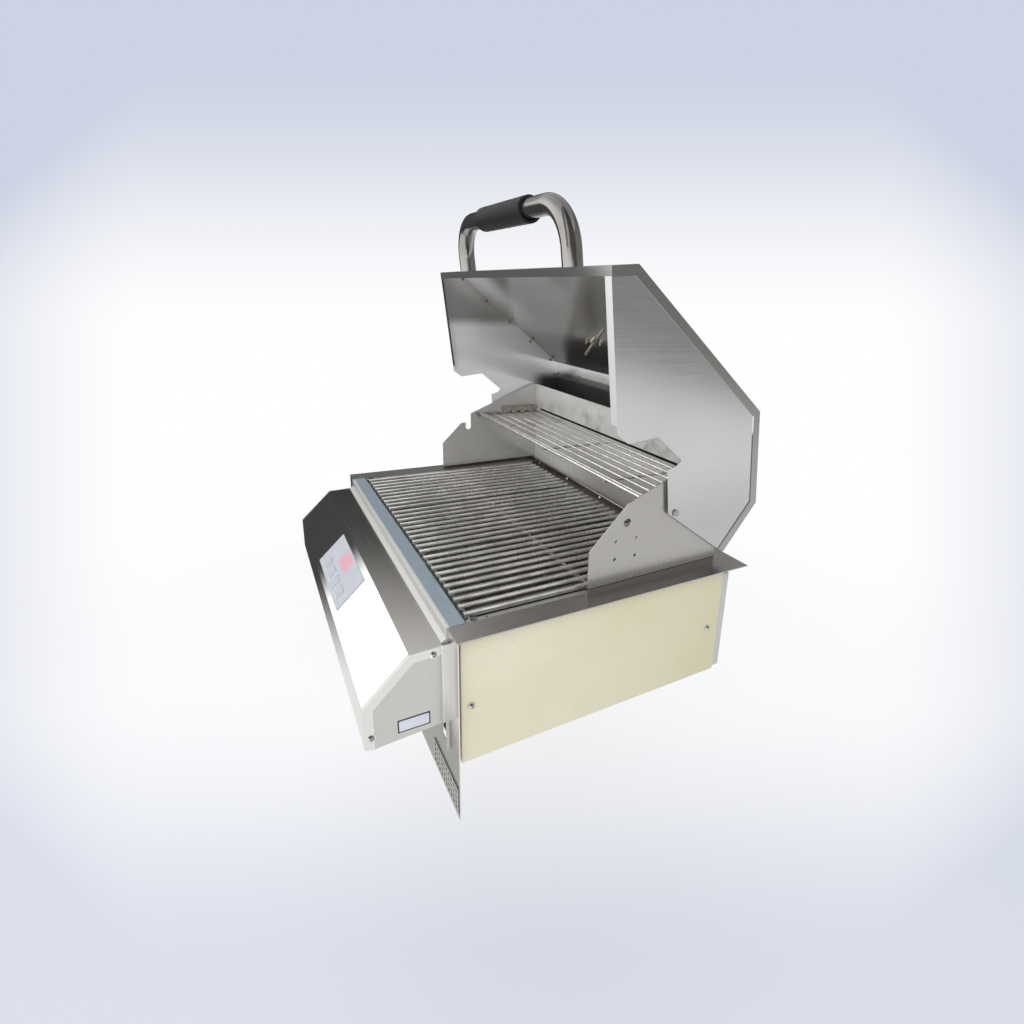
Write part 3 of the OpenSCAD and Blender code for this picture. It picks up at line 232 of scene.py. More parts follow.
lit_point = (0, 0.2, 0.1)
soft_lamp("softbox_right", (2.2, -0.9, 1.7), lit_point, 1.8, 26)
soft_lamp("softbox_top", (-0.3, -0.4, 2.6), lit_point, 2.0, 22)

# %% [markdown]
# The floor is a round sheet well below the grill, which hangs by its flange in a real counter. It takes
# the soft shadow near the object. Two thirds of what it shows there is already the backdrop behind it,
# so the shadow is faint, and further out the sheet fades away.

# %% Floor
floor_middle = Vector((0, 0.2, -0.78))
sheet = bmesh.new()
bmesh.ops.create_circle(sheet, cap_ends=True, segments=96, radius=3.2)
bmesh.ops.translate(sheet, vec=floor_middle, verts=sheet.verts)
mesh = bpy.data.meshes.new("studio_floor")
sheet.to_mesh(mesh)
sheet.free()
floor = bpy.data.objects.new("studio_floor", mesh)
scene.collection.objects.link(floor)
paper, tree, shader, place = start_finish("matt_paper_roll")
shader.inputs["Base Color"].default_value = linear("#F6F7FA")
shader.inputs["Roughness"].default_value = 0.9
reach = add(tree, "ShaderNodeVectorMath", {0: place, 1: floor_middle}, operation="DISTANCE")
clearness = add(tree, "ShaderNodeMapRange", {"Value": reach.outputs["Value"], "From Min": 0.7,
                "From Max": 2.6, "To Min": 0.65}, interpolation_type="SMOOTHSTEP")
clear = add(tree, "ShaderNodeBsdfTransparent")
mixed = add(tree, "ShaderNodeMixShader", {0: clearness.outputs["Result"], 1: shader.outputs["BSDF"],
            2: clear.outputs["BSDF"]})
tree.links.new(mixed.outputs["Shader"], tree.nodes["Material Output"].inputs["Surface"])
mesh.materials.append(paper)
floor.visible_glossy = False
print("floor at z =", floor_middle.z, "m")

# %% [markdown]
# Most of the grill is stainless steel sheet with a brushed finish. The belt leaves fine parallel
# scratches, so a noise is stretched along the grain: long in one direction, a millimetre or so across.
# That noise varies the tone, the roughness and a shallow bump. A second, broad noise adds the faint
# clouds that handling leaves. Real scratches are about 0.1 mm wide; they are drawn wider to show.

# %% Brushed sheet
CLOUD_SIZE = 140


def brushed_sheet(name, code, roughness, grain, streak=0.07, cloud=0.10, bump=0.04, metallic=1.0):
    """Stainless sheet; grain holds the scratch size along x, y and z in millimetres."""
    material, tree, shader, place = start_finish(name)
    tone = linear(code)
    stretched = add(tree, "ShaderNodeMapping", {"Vector": place, "Scale": [1000 / g for g in grain]})
    lines = add(tree, "ShaderNodeTexNoise", {"Vector": stretched.outputs["Vector"], "Scale": 1.0,
                "Detail": 3.0, "Roughness": 0.6})
    clouds = add(tree, "ShaderNodeTexNoise", {"Vector": place, "Scale": 1000 / CLOUD_SIZE,
                 "Detail": 2.0})
    scratched = add(tree, "ShaderNodeMix", {0: lines.outputs["Fac"],
                    6: [t * (1 - streak) for t in tone[:3]] + [1],
                    7: [min(1, t * (1 + streak)) for t in tone[:3]] + [1]}, data_type="RGBA")
    handled = add(tree, "ShaderNodeMapRange", {"Value": clouds.outputs["Fac"], "From Min": 0.45,
                  "From Max": 0.75, "To Min": 0.0, "To Max": cloud})
    colour = add(tree, "ShaderNodeMix", {0: handled.outputs["Result"], 6: scratched.outputs[2],
                 7: [t * 0.55 for t in tone[:3]] + [1]}, data_type="RGBA")
    rough = add(tree, "ShaderNodeMapRange", {"Value": lines.outputs["Fac"], "From Min": 0.3,
                "From Max": 0.7, "To Min": roughness - 0.03, "To Max": roughness + 0.05})
    relief = add(tree, "ShaderNodeBump", {"Height": lines.outputs["Fac"], "Strength": bump,
                 "Distance": 0.2 * MM})
    tree.links.new(colour.outputs[2], shader.inputs["Base Color"])
    tree.links.new(rough.outputs["Result"], shader.inputs["Roughness"])
    tree.links.new(relief.outputs["Normal"], shader.inputs["Normal"])
    shader.inputs["Metallic"].default_value = metallic
    return material


print("clouds on the sheet are about", CLOUD_SIZE, "mm wide")

# %% [markdown]
# Each sheet is brushed along its own length. Where the real steel is plain and a little dull, such as
# the rolled front rail, the metallic value is low, so it keeps more of its own grey and mirrors less.

# %% Plain sheets
ALONG_X, ALONG_Y, ALONG_Z = (90, 0.9, 0.9), (0.9, 90, 0.9), (0.9, 0.9, 90)
flange_steel = brushed_sheet("stainless_flange_brushed", "#B5B2AE", 0.30, ALONG_Y)
plate_steel = brushed_sheet("stainless_plate_brushed", "#BFBDB9", 0.22, ALONG_Z)
vent_steel = brushed_sheet("stainless_vent_pressed", "#A9A8A4", 0.34, ALONG_Z, metallic=0.6)
wing_steel = brushed_sheet("stainless_wing_brushed", "#AFADAA", 0.25, ALONG_Z, streak=0.03,
                           cloud=0.15, bump=0.02, metallic=0.75)
rail_steel = brushed_sheet("stainless_rail_rolled", "#CDCCC8", 0.30, ALONG_X, streak=0.03,
                           cloud=0.03, metallic=0.25)
strip_steel = brushed_sheet("stainless_strip_brushed", "#B5B5B2", 0.25, ALONG_X)
duct_steel = brushed_sheet("stainless_deflector_rolled", "#BCB8B2", 0.24, ALONG_X, cloud=0.3)
slot_steel = brushed_sheet("stainless_rack_rail_punched", "#C6C3BD", 0.24, ALONG_Y, cloud=0.2)
dull_steel = brushed_sheet("stainless_mill_finish", "#A9A7A3", 0.42, ALONG_X, cloud=0.3,
                           metallic=0.5)
print("brushed finishes:", len([m for m in bpy.data.materials if m.name.startswith("stainless")]))

# %% [markdown]
# Some sheets look different from place to place: one face is polished, or an edge is raw. Such a place
# is told apart by a mask, which is 1 there and 0 elsewhere. One kind of mask follows the normal, the
# way a face looks. The other follows the object coordinates, which are metres in the grill's own
# frame. A finish then takes a second tone and gloss wherever all of its masks are 1.

# %% Masks and second tones
def shader_of(material):
    """The shader node of a finish."""
    return material.node_tree.nodes["Principled BSDF"]


def facing(material, way, start, full):
    """A mask that grows to 1 as a face turns towards a direction; start and full are cosines."""
    tree = material.node_tree
    normal = add(tree, "ShaderNodeTexCoord").outputs["Normal"]
    turned = add(tree, "ShaderNodeVectorMath", {0: normal, 1: way}, operation="DOT_PRODUCT")
    mask = add(tree, "ShaderNodeMapRange", {"Value": turned.outputs["Value"], "From Min": start,
               "From Max": full}, interpolation_type="SMOOTHSTEP")
    return mask.outputs["Result"]


def past(material, way, start, full, most=1.0, curve="SMOOTHSTEP"):
    """A mask that grows to its most between two places along a direction, in millimetres."""
    tree = material.node_tree
    place = add(tree, "ShaderNodeTexCoord").outputs["Object"]
    along = add(tree, "ShaderNodeVectorMath", {0: place, 1: way}, operation="DOT_PRODUCT")
    mask = add(tree, "ShaderNodeMapRange", {"Value": along.outputs["Value"], "From Min": start * MM,
               "From Max": full * MM, "To Max": most}, interpolation_type=curve)
    return mask.outputs["Result"]


def inner_side(material):
    """A mask of the faces that stand over 300 mm out at the left or right and look to the middle."""
    tree = material.node_tree
    axes = add(tree, "ShaderNodeTexCoord")
    inner = add(tree, "ShaderNodeVectorMath", {0: axes.outputs["Object"], 1: axes.outputs["Normal"]},
                operation="MULTIPLY")
    inner = add(tree, "ShaderNodeSeparateXYZ", {"Vector": inner.outputs["Vector"]})
    inner = add(tree, "ShaderNodeMath", {0: inner.outputs["X"], 1: -300 * MM}, operation="LESS_THAN")
    return inner.outputs["Value"]


def refinish(material, masks, code, roughness, metallic=None):
    """Gives a finish another tone and gloss wherever all the masks are 1."""
    tree = material.node_tree
    shader = shader_of(material)
    mask = masks[0]
    for other in masks[1:]:
        mask = add(tree, "ShaderNodeMath", {0: mask, 1: other}, operation="MULTIPLY").outputs["Value"]
    tone = add(tree, "ShaderNodeMix", {0: mask, 6: shader.inputs["Base Color"].links[0].from_socket,
               7: linear(code)}, data_type="RGBA")
    gloss = add(tree, "ShaderNodeMix", {0: mask, 2: shader.inputs["Roughness"].links[0].from_socket,
                3: roughness})
    tree.links.new(tone.outputs[2], shader.inputs["Base Color"])
    tree.links.new(gloss.outputs[0], shader.inputs["Roughness"])
    if metallic is not None:
        share = shader.inputs["Metallic"]
        before = share.links[0].from_socket if share.links else share.default_value
        share_mix = add(tree, "ShaderNodeMix", {0: mask, 2: before, 3: metallic})
        tree.links.new(share_mix.outputs[0], share)


print("masks ready:", facing.__name__, past.__name__, inner_side.__name__)

# %% [markdown]
# The slanted face of the control housing is polished like a mirror, while its top is only brushed. The
# end caps are pressed from sheet. Their raised rim has a painted highlight, so it is brighter than the
# field, and the heel beside the front plate has the brightest painted highlight. The cap's field stands
# 325.5 mm out from the middle and its rim 327 mm, so a mask that starts between the two finds the rim.

# %% Housing and caps
housing_steel = brushed_sheet("stainless_housing_polished_face", "#BEBBB7", 0.13, ALONG_X)
refinish(housing_steel, [facing(housing_steel, (0, -0.7071, 0.7071), 0.969, 0.971)], "#EDEDEE", 0.05)

cap_steel = brushed_sheet("stainless_cap_pressed", "#C6C7C4", 0.24, ALONG_Z)
for side in (-1, 1):
    # painted highlight on the raised rim, and the brightest painted highlight on its heel by the front
    # plate
    rim = past(cap_steel, (side, 0, 0), 326.1, 326.3)
    refinish(cap_steel, [rim], "#DEDFDC", 0.2)
    refinish(cap_steel, [rim, past(cap_steel, REAR, -9.6, -9.4)], "#FDFDFB", 0.2)
print("nodes in the caps' finish:", len(cap_steel.node_tree.nodes))

# %% [markdown]
# The lid's wrap is brushed outside and smoother inside. Its sheet is bent round, so the normal alone
# doesn't tell the two sides apart. It is held against a line through the lid's middle: a face that
# looks towards this line is inside. Part of what the inside mirrors is out of the picture and can't be
# rebuilt, so it is painted in as tones by place: a pale painted reflection high at the left, a
# near-white painted reflection on the faces that look forward, and painted shade on them at the foot
# of the rear wall. The folded front edge and the rim that laps over the sides are a little darker.

# %% Lid wrap
LID_FRONT = (0, -0.9925, -0.1219)
lid_middle = (0, 0.385, 0.225)
lid_steel = brushed_sheet("stainless_lid_brushed", "#C3C2C0", 0.22, ALONG_X)
tree = lid_steel.node_tree
axes = add(tree, "ShaderNodeTexCoord")
inside = add(tree, "ShaderNodeVectorMath", {0: axes.outputs["Object"], 1: lid_middle},
             operation="SUBTRACT")
inside = add(tree, "ShaderNodeVectorMath", {0: inside.outputs["Vector"], 1: (0, 1, 1)},
             operation="MULTIPLY")
inside = add(tree, "ShaderNodeVectorMath", {0: inside.outputs["Vector"], 1: axes.outputs["Normal"]},
             operation="DOT_PRODUCT")
inside = add(tree, "ShaderNodeMath", {0: inside.outputs["Value"], 1: -10 * MM},
             operation="LESS_THAN").outputs["Value"]
refinish(lid_steel, [inside], "#B4B2AF", 0.14, 0.88)
# painted reflection: a pale zone high at the left of the inside
pale_reflection_high_left = [inside, past(lid_steel, RIGHT, -120, -260), past(lid_steel, UP, 300, 430)]
refinish(lid_steel, pale_reflection_high_left, "#F8F7F5", 0.22, 0.2)
lip = facing(lid_steel, LID_FRONT, 0.969, 0.971)
# painted reflection: near-white on the faces that look forward
refinish(lid_steel, [lip], "#F8F7F6", 0.09, 0.9)
# painted shade on those faces below about 210 mm, at the foot of the rear wall
refinish(lid_steel, [lip, past(lid_steel, UP, 216, 207)], "#6B6A69", 0.14, 0.55)
refinish(lid_steel, [lip, past(lid_steel, UP, 419, 421)], "#B9B7B5", 0.09, 0.8)
for side in (-1, 1):
    refinish(lid_steel, [facing(lid_steel, (side, 0, 0), 0.89, 0.91)], "#A3A19E", 0.26)
print("nodes in the lid's finish:", len(lid_steel.node_tree.nodes))

# %% [markdown]
# The lid's sides are flat panels. The left one shows its inner face. Up to a height of about 335 mm it
# has a painted reflection of the bright paper, and painted shade in the corner behind the warming rack.
# The right one shows a narrow lip along its front edge with a near-white painted highlight. Low down,
# towards the hinge, both grow darker and a little rougher.

# %% Lid sides
side_steel = brushed_sheet("stainless_lid_side_brushed", "#CACBCC", 0.17, ALONG_Y)
inner = inner_side(side_steel)
refinish(side_steel, [inner], "#C6C4C2", 0.16, 0.75)
# painted reflection of the bright paper on the inner faces, up to about 335 mm
refinish(side_steel, [inner, past(side_steel, UP, 350, 322)], "#FBFCFE", 0.14, 0.3)
# painted highlight: the near-white lip along the right side's front edge
right_lip_highlight = [facing(side_steel, LID_FRONT, 0.969, 0.971), past(side_steel, RIGHT, -1, 1)]
refinish(side_steel, right_lip_highlight, "#FCFCFB", 0.3, 0.4)
# painted shade in the rear corner behind the warming rack
shaded_rear_corner = [inner, past(side_steel, REAR, 415, 460), past(side_steel, UP, 226, 202)]
refinish(side_steel, shaded_rear_corner, "#605F5E", 0.14, 0.55)
# darker and a little rougher towards the foot
refinish(side_steel, [past(side_steel, UP, 170, 80, 0.5, "LINEAR")], "#A2A3A3", 0.2)
print("nodes in the lid sides' finish:", len(side_steel.node_tree.nodes))

# %% [markdown]
# The wings have a duller finish than the lid, and their inner faces are paler. At its foot each wing is
# bent over the flange. The bend is too small to be worth a shape, so it is a dark line of painted shade
# in the finish, with bright steel under it. The line climbs by a few millimetres towards the rear, and
# the direction along which it is measured leans with it. The front plate gets painted shade low down,
# and its cut edges and its back are raw and pale.

# %% Wings and front plate
refinish(wing_steel, [inner_side(wing_steel)], "#D8D6D2", 0.24, 0.55)
over_foot = (0, -0.0157, 1)
# painted shade: the dark line in the bend at each wing's foot
refinish(wing_steel, [past(wing_steel, over_foot, 5.55, 5.45)], "#3F3D3B", 0.5, 0.2)
refinish(wing_steel, [past(wing_steel, over_foot, 3.95, 3.85)], "#B5B2AE", 0.2, 1.0)
# painted shade on the front plate low down
refinish(plate_steel, [past(plate_steel, UP, -90, -165)], "#7F7E7A", 0.3)
refinish(plate_steel, [facing(plate_steel, REAR, -0.51, -0.49)], "#E4E2DE", 0.4, 0.3)
print("nodes in the wings' finish:", len(wing_steel.node_tree.nodes))

# %% [markdown]
# The back wall stands in the heat. It is the same brushed steel, but grease and heat leave yellow-brown
# patches on it, most of all in a band just over the warming rack. A noise of about 45 mm, cut by
# height, sets where they are. Lower down and to the right the wall is greyer, behind the rods.

# %% Heat-stained wall
wall_steel = brushed_sheet("stainless_wall_heat_stained", "#FAF9F5", 0.24, ALONG_Z, streak=0.04,
                           cloud=0.15, bump=0.02, metallic=0.15)
low_right = [past(wall_steel, UP, 125, 45), past(wall_steel, RIGHT, -230, 20)]
refinish(wall_steel, low_right, "#AFADA9", 0.3)
tree = wall_steel.node_tree
place = add(tree, "ShaderNodeTexCoord").outputs["Object"]
blot = add(tree, "ShaderNodeTexNoise", {"Vector": place, "Scale": 1000 / 45, "Detail": 5.0,
           "Roughness": 0.65})
stain = add(tree, "ShaderNodeMapRange", {"Value": blot.outputs["Fac"], "From Min": 0.48,
            "From Max": 0.68, "To Max": 0.5})
band_low, band_top = 110, 215
band = [past(wall_steel, UP, band_low, band_low + 40), past(wall_steel, UP, band_top, band_top - 55)]
refinish(wall_steel, [stain.outputs["Result"]] + band, "#7F7560", 0.45)
print("stain band from", band_low, "to", band_top, "mm")

# %% [markdown]
# Rods, wires and the handle are round bar and tube, not sheet. Heat makes cooking rods mottled and
# slightly brown. The rack's wires are bright. Screws are zinc plated, and the thermometer's ring is
# nickel. They share one recipe: a noise of a given spot size mixes a clean and a dirty tone, and makes
# the gloss uneven with it. The drip pan is greasy pressed steel, so it is only half a mirror.

# %% Round metals
def round_metal(name, code, dark, roughness, spot, amount, relief=0.1):
    """Metal bar or wire; spots of about the given size in millimetres vary tone and gloss."""
    material, tree, shader, place = start_finish(name)
    mottle = add(tree, "ShaderNodeTexNoise", {"Vector": place, "Scale": 1000 / spot, "Detail": 1.5,
                 "Roughness": 0.5})
    spread = add(tree, "ShaderNodeMapRange", {"Value": mottle.outputs["Fac"], "From Min": 0.4,
                 "From Max": 0.7, "To Max": amount})
    tone = add(tree, "ShaderNodeMix", {0: spread.outputs["Result"], 6: linear(code), 7: linear(dark)},
               data_type="RGBA")
    rough = add(tree, "ShaderNodeMapRange", {"Value": mottle.outputs["Fac"], "From Min": 0.3,
                "From Max": 0.7, "To Min": roughness * 0.8, "To Max": roughness * 1.3})
    grit = add(tree, "ShaderNodeBump", {"Height": mottle.outputs["Fac"], "Strength": relief,
               "Distance": 0.3 * MM})
    tree.links.new(tone.outputs[2], shader.inputs["Base Color"])
    tree.links.new(rough.outputs["Result"], shader.inputs["Roughness"])
    tree.links.new(grit.outputs["Normal"], shader.inputs["Normal"])
    shader.inputs["Metallic"].default_value = 1.0
    return material


rod_steel = round_metal("drawn_rod_heat_mottled", "#E6E5E2", "#98938C", 0.27, 26, 0.4, 0.0)
wire_steel = round_metal("bright_drawn_wire", "#EEEDE9", "#A8A49A", 0.18, 14, 0.4, 0.04)
zinc_steel = round_metal("zinc_plated_screw", "#D9D9D6", "#8E8D88", 0.22, 3, 0.5, 0.05)
rivet_steel = round_metal("heat_browned_rivet", "#A08A6A", "#57493A", 0.35, 2, 0.8)
nickel = round_metal("nickel_plated_bezel", "#CFCFCC", "#A5A39E", 0.10, 30, 0.4, 0.01)
brass = round_metal("turned_brass", "#B59C68", "#6E5A38", 0.25, 4, 0.6, 0.05)
stem_metal = round_metal("heat_dulled_stem", "#D6CFC0", "#8A8172", 0.22, 3, 0.6, 0.05)
oxide = round_metal("oxidised_heater_sheath", "#4B4A49", "#2A2523", 0.55, 6, 0.8)
pan_steel = round_metal("pressed_pan_steel_greasy", "#B0AEAA", "#6E665B", 0.35, 38, 0.7, 0.03)
shader_of(pan_steel).inputs["Metallic"].default_value = 0.5
print("metals so far:", len(bpy.data.materials))

# %% [markdown]
# The handle is a polished tube. It shows crisp bands of whatever is around it, so its roughness is low,
# and wide smears from hands keep it from being perfect. The upper side of the real one mirrors a dark
# part of its room that isn't built here, so the faces that look up get a darker tone.

# %% Polished tube
tube_steel = round_metal("polished_stainless_tube", "#A6A4A2", "#7D7A76", 0.085, 60, 0.6, 0.0)
shader_of(tube_steel).inputs["Metallic"].default_value = 0.92
refinish(tube_steel, [facing(tube_steel, UP, 0.15, 0.6)], "#6B6A69", 0.12)
print("tube finish:", tube_steel.name)

# %% [markdown]
# What is left isn't metal: a cream fibre board, plastics, rubber, a laminate, ceramic and paint. They
# share one recipe: two close tones mixed by a noise at the size of the real grain, and a matching
# bump.

# %% Recipe for non-metals
def moulded(name, code, other, roughness, grain, relief):
    """A non-metal with a fine grain of the given size in millimetres."""
    material, tree, shader, place = start_finish(name)
    fine = add(tree, "ShaderNodeTexNoise", {"Vector": place, "Scale": 1000 / grain, "Detail": 4.0,
               "Roughness": 0.65})
    spread = add(tree, "ShaderNodeMapRange", {"Value": fine.outputs["Fac"], "From Min": 0.35,
                 "From Max": 0.65})
    tone = add(tree, "ShaderNodeMix", {0: spread.outputs["Result"], 6: linear(code), 7: linear(other)},
               data_type="RGBA")
    rough = add(tree, "ShaderNodeMapRange", {"Value": fine.outputs["Fac"], "From Min": 0.3,
                "From Max": 0.7, "To Min": roughness - 0.05, "To Max": roughness + 0.05})
    grit = add(tree, "ShaderNodeBump", {"Height": fine.outputs["Fac"], "Strength": relief,
               "Distance": 0.3 * MM})
    tree.links.new(tone.outputs[2], shader.inputs["Base Color"])
    tree.links.new(rough.outputs["Result"], shader.inputs["Roughness"])
    tree.links.new(grit.outputs["Normal"], shader.inputs["Normal"])
    return material


ceramic = moulded("unglazed_steatite_bush", "#E9E4D8", "#DDD6C6", 0.7, 1.5, 0.1)
print("first non-metal:", ceramic.name)

# %% [markdown]
# The side boards are pressed fibre, matt and cream. They carry sparse dark specks, as recycled fibre
# does, and two worn dots on the right board. A broad noise yellows them in patches, and painted shade
# makes them a little darker towards the rear.

# %% Fibre board
board = moulded("pressed_fibre_board", "#ECE7D0", "#E3DDC4", 0.92, 2.2, 0.25)
tree = board.node_tree
place = add(tree, "ShaderNodeTexCoord").outputs["Object"]
cells = add(tree, "ShaderNodeTexVoronoi", {"Vector": place, "Scale": 1000 / 17})
speck = add(tree, "ShaderNodeMapRange", {"Value": cells.outputs["Distance"], "From Min": 0.05,
            "From Max": 0.02, "To Max": 0.6})
refinish(board, [speck.outputs["Result"]], "#8E8468", 0.9)
worn_dots = ((349, 266, -76), (349, 322, -124))
for dot in worn_dots:
    near = add(tree, "ShaderNodeVectorMath", {0: place, 1: [c * MM for c in dot]}, operation="DISTANCE")
    near = add(tree, "ShaderNodeMapRange", {"Value": near.outputs["Value"], "From Min": 2.5 * MM,
               "From Max": 1.2 * MM, "To Max": 0.8})
    refinish(board, [near.outputs["Result"]], "#5B513C", 0.9)
age = add(tree, "ShaderNodeTexNoise", {"Vector": place, "Scale": 1000 / 170, "Detail": 3.0})
age = add(tree, "ShaderNodeMapRange", {"Value": age.outputs["Fac"], "From Min": 0.45, "From Max": 0.75,
          "To Max": 0.5})
refinish(board, [age.outputs["Result"]], "#DDD6B2", 0.9)
# painted shade, growing towards the rear of the boards
refinish(board, [past(board, REAR, 80, 500, 0.8, "LINEAR")], "#D0C9A8", 0.9)
print("worn dots on the board:", len(worn_dots))

# %% [markdown]
# The other non-metals are small. The front strip is still under its blue film, whose cut front edge
# gets a white painted highlight. The black sleeve is soft foam, which hardly shines, so its specular
# level is low.

# %% Film, plastics and paint
film = moulded("blue_protective_film", "#86949E", "#7F8D97", 0.38, 30, 0.02)
# painted highlight: the film's cut front edge, made white
refinish(film, [facing(film, (0, -1, 0), 0.89, 0.91)], "#F6F7F8", 0.3)
overlay = moulded("matt_polyester_overlay", "#C2C6CD", "#BABEC6", 0.5, 1.5, 0.05)
lens_pink = moulded("tinted_polycarbonate_window", "#E3B0BC", "#DDA6B4", 0.28, 12, 0.02)
key_grey = moulded("silicone_key_grey", "#BFC3CB", "#B7BBC4", 0.55, 0.8, 0.08)
foil = moulded("bare_polyester_plate", "#DFE3EE", "#D5DAE8", 0.45, 5, 0.03)
rubber = moulded("black_rubber_block", "#2D2D2F", "#232325", 0.75, 1.2, 0.2)
nylon = moulded("natural_nylon_pillar", "#D8CF9A", "#CFC58C", 0.5, 3, 0.05)
cover_paint = moulded("powder_coated_cover", "#C6C7C5", "#BFC0BE", 0.5, 1.1, 0.12)
gland_black = moulded("moulded_nylon_gland", "#2B2C2E", "#222325", 0.45, 0.9, 0.15)
laminate = moulded("green_fr4_laminate", "#2F5A3C", "#274E33", 0.4, 0.7, 0.1)
pointer_red = moulded("red_pointer_enamel", "#B02A22", "#A5261F", 0.35, 4, 0.02)
dial_white = moulded("white_dial_enamel", "#F1F0EA", "#EAE9E2", 0.4, 6, 0.02)
ink = moulded("black_dial_ink", "#1D1D1F", "#242426", 0.5, 2, 0.02)
grip_foam = moulded("black_sleeve_foam", "#242426", "#2A2A2D", 0.45, 0.9, 0.15)
shader_of(grip_foam).inputs["Specular IOR Level"].default_value = 0.18
print("finishes made:", len(bpy.data.materials))

# %% [markdown]
# The small bare plate on the end cap has a dark line round it, with rounded corners. The line is worked
# out from the distance to a smaller rectangle, so it stays sharp at any size.

# %% Border on the bare plate
low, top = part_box("blank_plate")
middle, half = (low + top) / 2, (top - low) / 2
corner_in, corner_r = 3.2 * MM, 1.5 * MM
tree = foil.node_tree
place = add(tree, "ShaderNodeTexCoord").outputs["Object"]
off = add(tree, "ShaderNodeVectorMath", {0: place, 1: middle}, operation="SUBTRACT")
off = add(tree, "ShaderNodeVectorMath", {0: off.outputs["Vector"]}, operation="ABSOLUTE")
off = add(tree, "ShaderNodeVectorMath", {0: off.outputs["Vector"],
          1: (1, half.y - corner_in, half.z - corner_in)}, operation="SUBTRACT")
off = add(tree, "ShaderNodeVectorMath", {0: off.outputs["Vector"], 1: (0, 0, 0)}, operation="MAXIMUM")
ring = add(tree, "ShaderNodeVectorMath", {0: off.outputs["Vector"]}, operation="LENGTH")
ring = add(tree, "ShaderNodeMath", {0: ring.outputs["Value"], 1: corner_r}, operation="GREATER_THAN")
refinish(foil, [ring.outputs["Value"]], "#3E434C", 0.5)
print("plate is", round(half.y * 2 / MM), "by", round(half.z * 2 / MM), "mm")

# %% [markdown]
# The overlay has faint pale dashes in rows, where the real one is printed; nothing on it can be read. A
# brick pattern turned flat on the slope gives the rows, and a noise drops some of the dashes.

# %% Dashes on the overlay
dash_length, row_height, dash_gap = 17, 5.5, 2.2
tree = overlay.node_tree
place = add(tree, "ShaderNodeTexCoord").outputs["Object"]
turned = add(tree, "ShaderNodeMapping", {"Vector": place, "Rotation": (math.radians(-45), 0, 0)})
rows = add(tree, "ShaderNodeTexBrick", {"Vector": turned.outputs["Vector"], "Scale": 1.0,
           "Color1": (1, 1, 1, 1), "Color2": (0.2, 0.2, 0.2, 1), "Mortar": (0, 0, 0, 1),
           "Mortar Size": dash_gap * MM, "Mortar Smooth": 0.1, "Brick Width": dash_length * MM,
           "Row Height": row_height * MM}, offset=0.35)
patch = add(tree, "ShaderNodeTexNoise", {"Vector": place, "Scale": 1000 / 26, "Detail": 0.0})
patch = add(tree, "ShaderNodeMapRange", {"Value": patch.outputs["Fac"], "From Min": 0.48,
            "From Max": 0.56, "To Max": 0.55})
refinish(overlay, [rows.outputs["Color"], patch.outputs["Result"]], "#E3E6EC", 0.5)
print("rows of dashes every", row_height, "mm")

# %% [markdown]
# The dial has a clear glass. Window glass has an index of refraction of about 1.5 and is smooth; a
# whisper of noise in the roughness stands for dust.

# %% Glass
glass, tree, shader, place = start_finish("clear_dial_glass")
dust = add(tree, "ShaderNodeTexNoise", {"Vector": place, "Scale": 1000 / 8, "Detail": 3.0})
dust = add(tree, "ShaderNodeMapRange", {"Value": dust.outputs["Fac"], "From Min": 0.4, "From Max": 0.8,
           "To Min": 0.01, "To Max": 0.08})
tree.links.new(dust.outputs["Result"], shader.inputs["Roughness"])
shader.inputs["Base Color"].default_value = linear("#F3F8F8")
shader.inputs["Transmission Weight"].default_value = 1.0
shader.inputs["IOR"].default_value = 1.5
print("glass made")

# %% [markdown]
# Now each CAD solid gets its finish. A node's mesh stays as it is; only its material slot is filled.

# %% Finishes on the solids
finish_of = {
    flange_steel: ["counter_flange"],
    plate_steel: ["front_plate"],
    vent_steel: ["vent_grilles"],
    wing_steel: ["wing_left", "wing_right"],
    wall_steel: ["back_wall"],
    duct_steel: ["rear_deflector"],
    slot_steel: ["rack_rails"],
    rubber: ["lid_stops"],
    rail_steel: ["front_rail"],
    strip_steel: ["front_strip"],
    dull_steel: ["firebox", "element_rests", "grate_ledges", "hinge_pins"],
    housing_steel: ["control_housing"],
    cap_steel: ["end_cap_left", "end_cap_right"],
    lid_steel: ["lid_shell"],
    side_steel: ["lid_side_left", "lid_side_right"],
    rod_steel: ["grate_left", "grate_centre", "grate_right"],
    wire_steel: ["warming_rack"],
    tube_steel: ["handle_tube"],
    zinc_steel: ["board_screws", "cap_screws", "deflector_screws", "handle_bolts"],
    rivet_steel: ["lid_rivets"],
    nickel: ["thermometer_case"],
    brass: ["rail_rivets", "hinge_bushes"],
    stem_metal: ["thermometer_stem"],
    oxide: ["element_left", "element_centre", "element_right"],
    pan_steel: ["drip_pan"],
    board: ["insulation_left", "insulation_right", "insulation_base", "insulation_rear"],
    film: ["strip_film"],
    overlay: ["control_overlay"],
    lens_pink: ["display_window"],
    key_grey: ["key_1", "key_2", "key_3", "key_4"],
    foil: ["blank_plate"],
    nylon: ["board_pillars"],
    ceramic: ["element_bushes"],
    cover_paint: ["rear_cover"],
    gland_black: ["supply_gland"],
    laminate: ["circuit_board"],
    pointer_red: ["thermometer_pointer"],
    glass: ["thermometer_glass"],
    grip_foam: ["handle_grip"],
}
for material, names in finish_of.items():
    for name in names:
        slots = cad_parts[name].data.materials
        slots.clear()
        slots.append(material)
bare = set(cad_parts) - {name for names in finish_of.values() for name in names}
print("solids without a finish:", sorted(bare))

# %% [markdown]
# From here on, small pieces are made that only the eye needs. One helper turns a finished bmesh into an
# object: it merges doubles, turns the normals outward, shades it smooth with crisp edges, fills its
# slot and sets it on the body that it moves with. Two more pick points and open edges out of what an
# operator gives back.

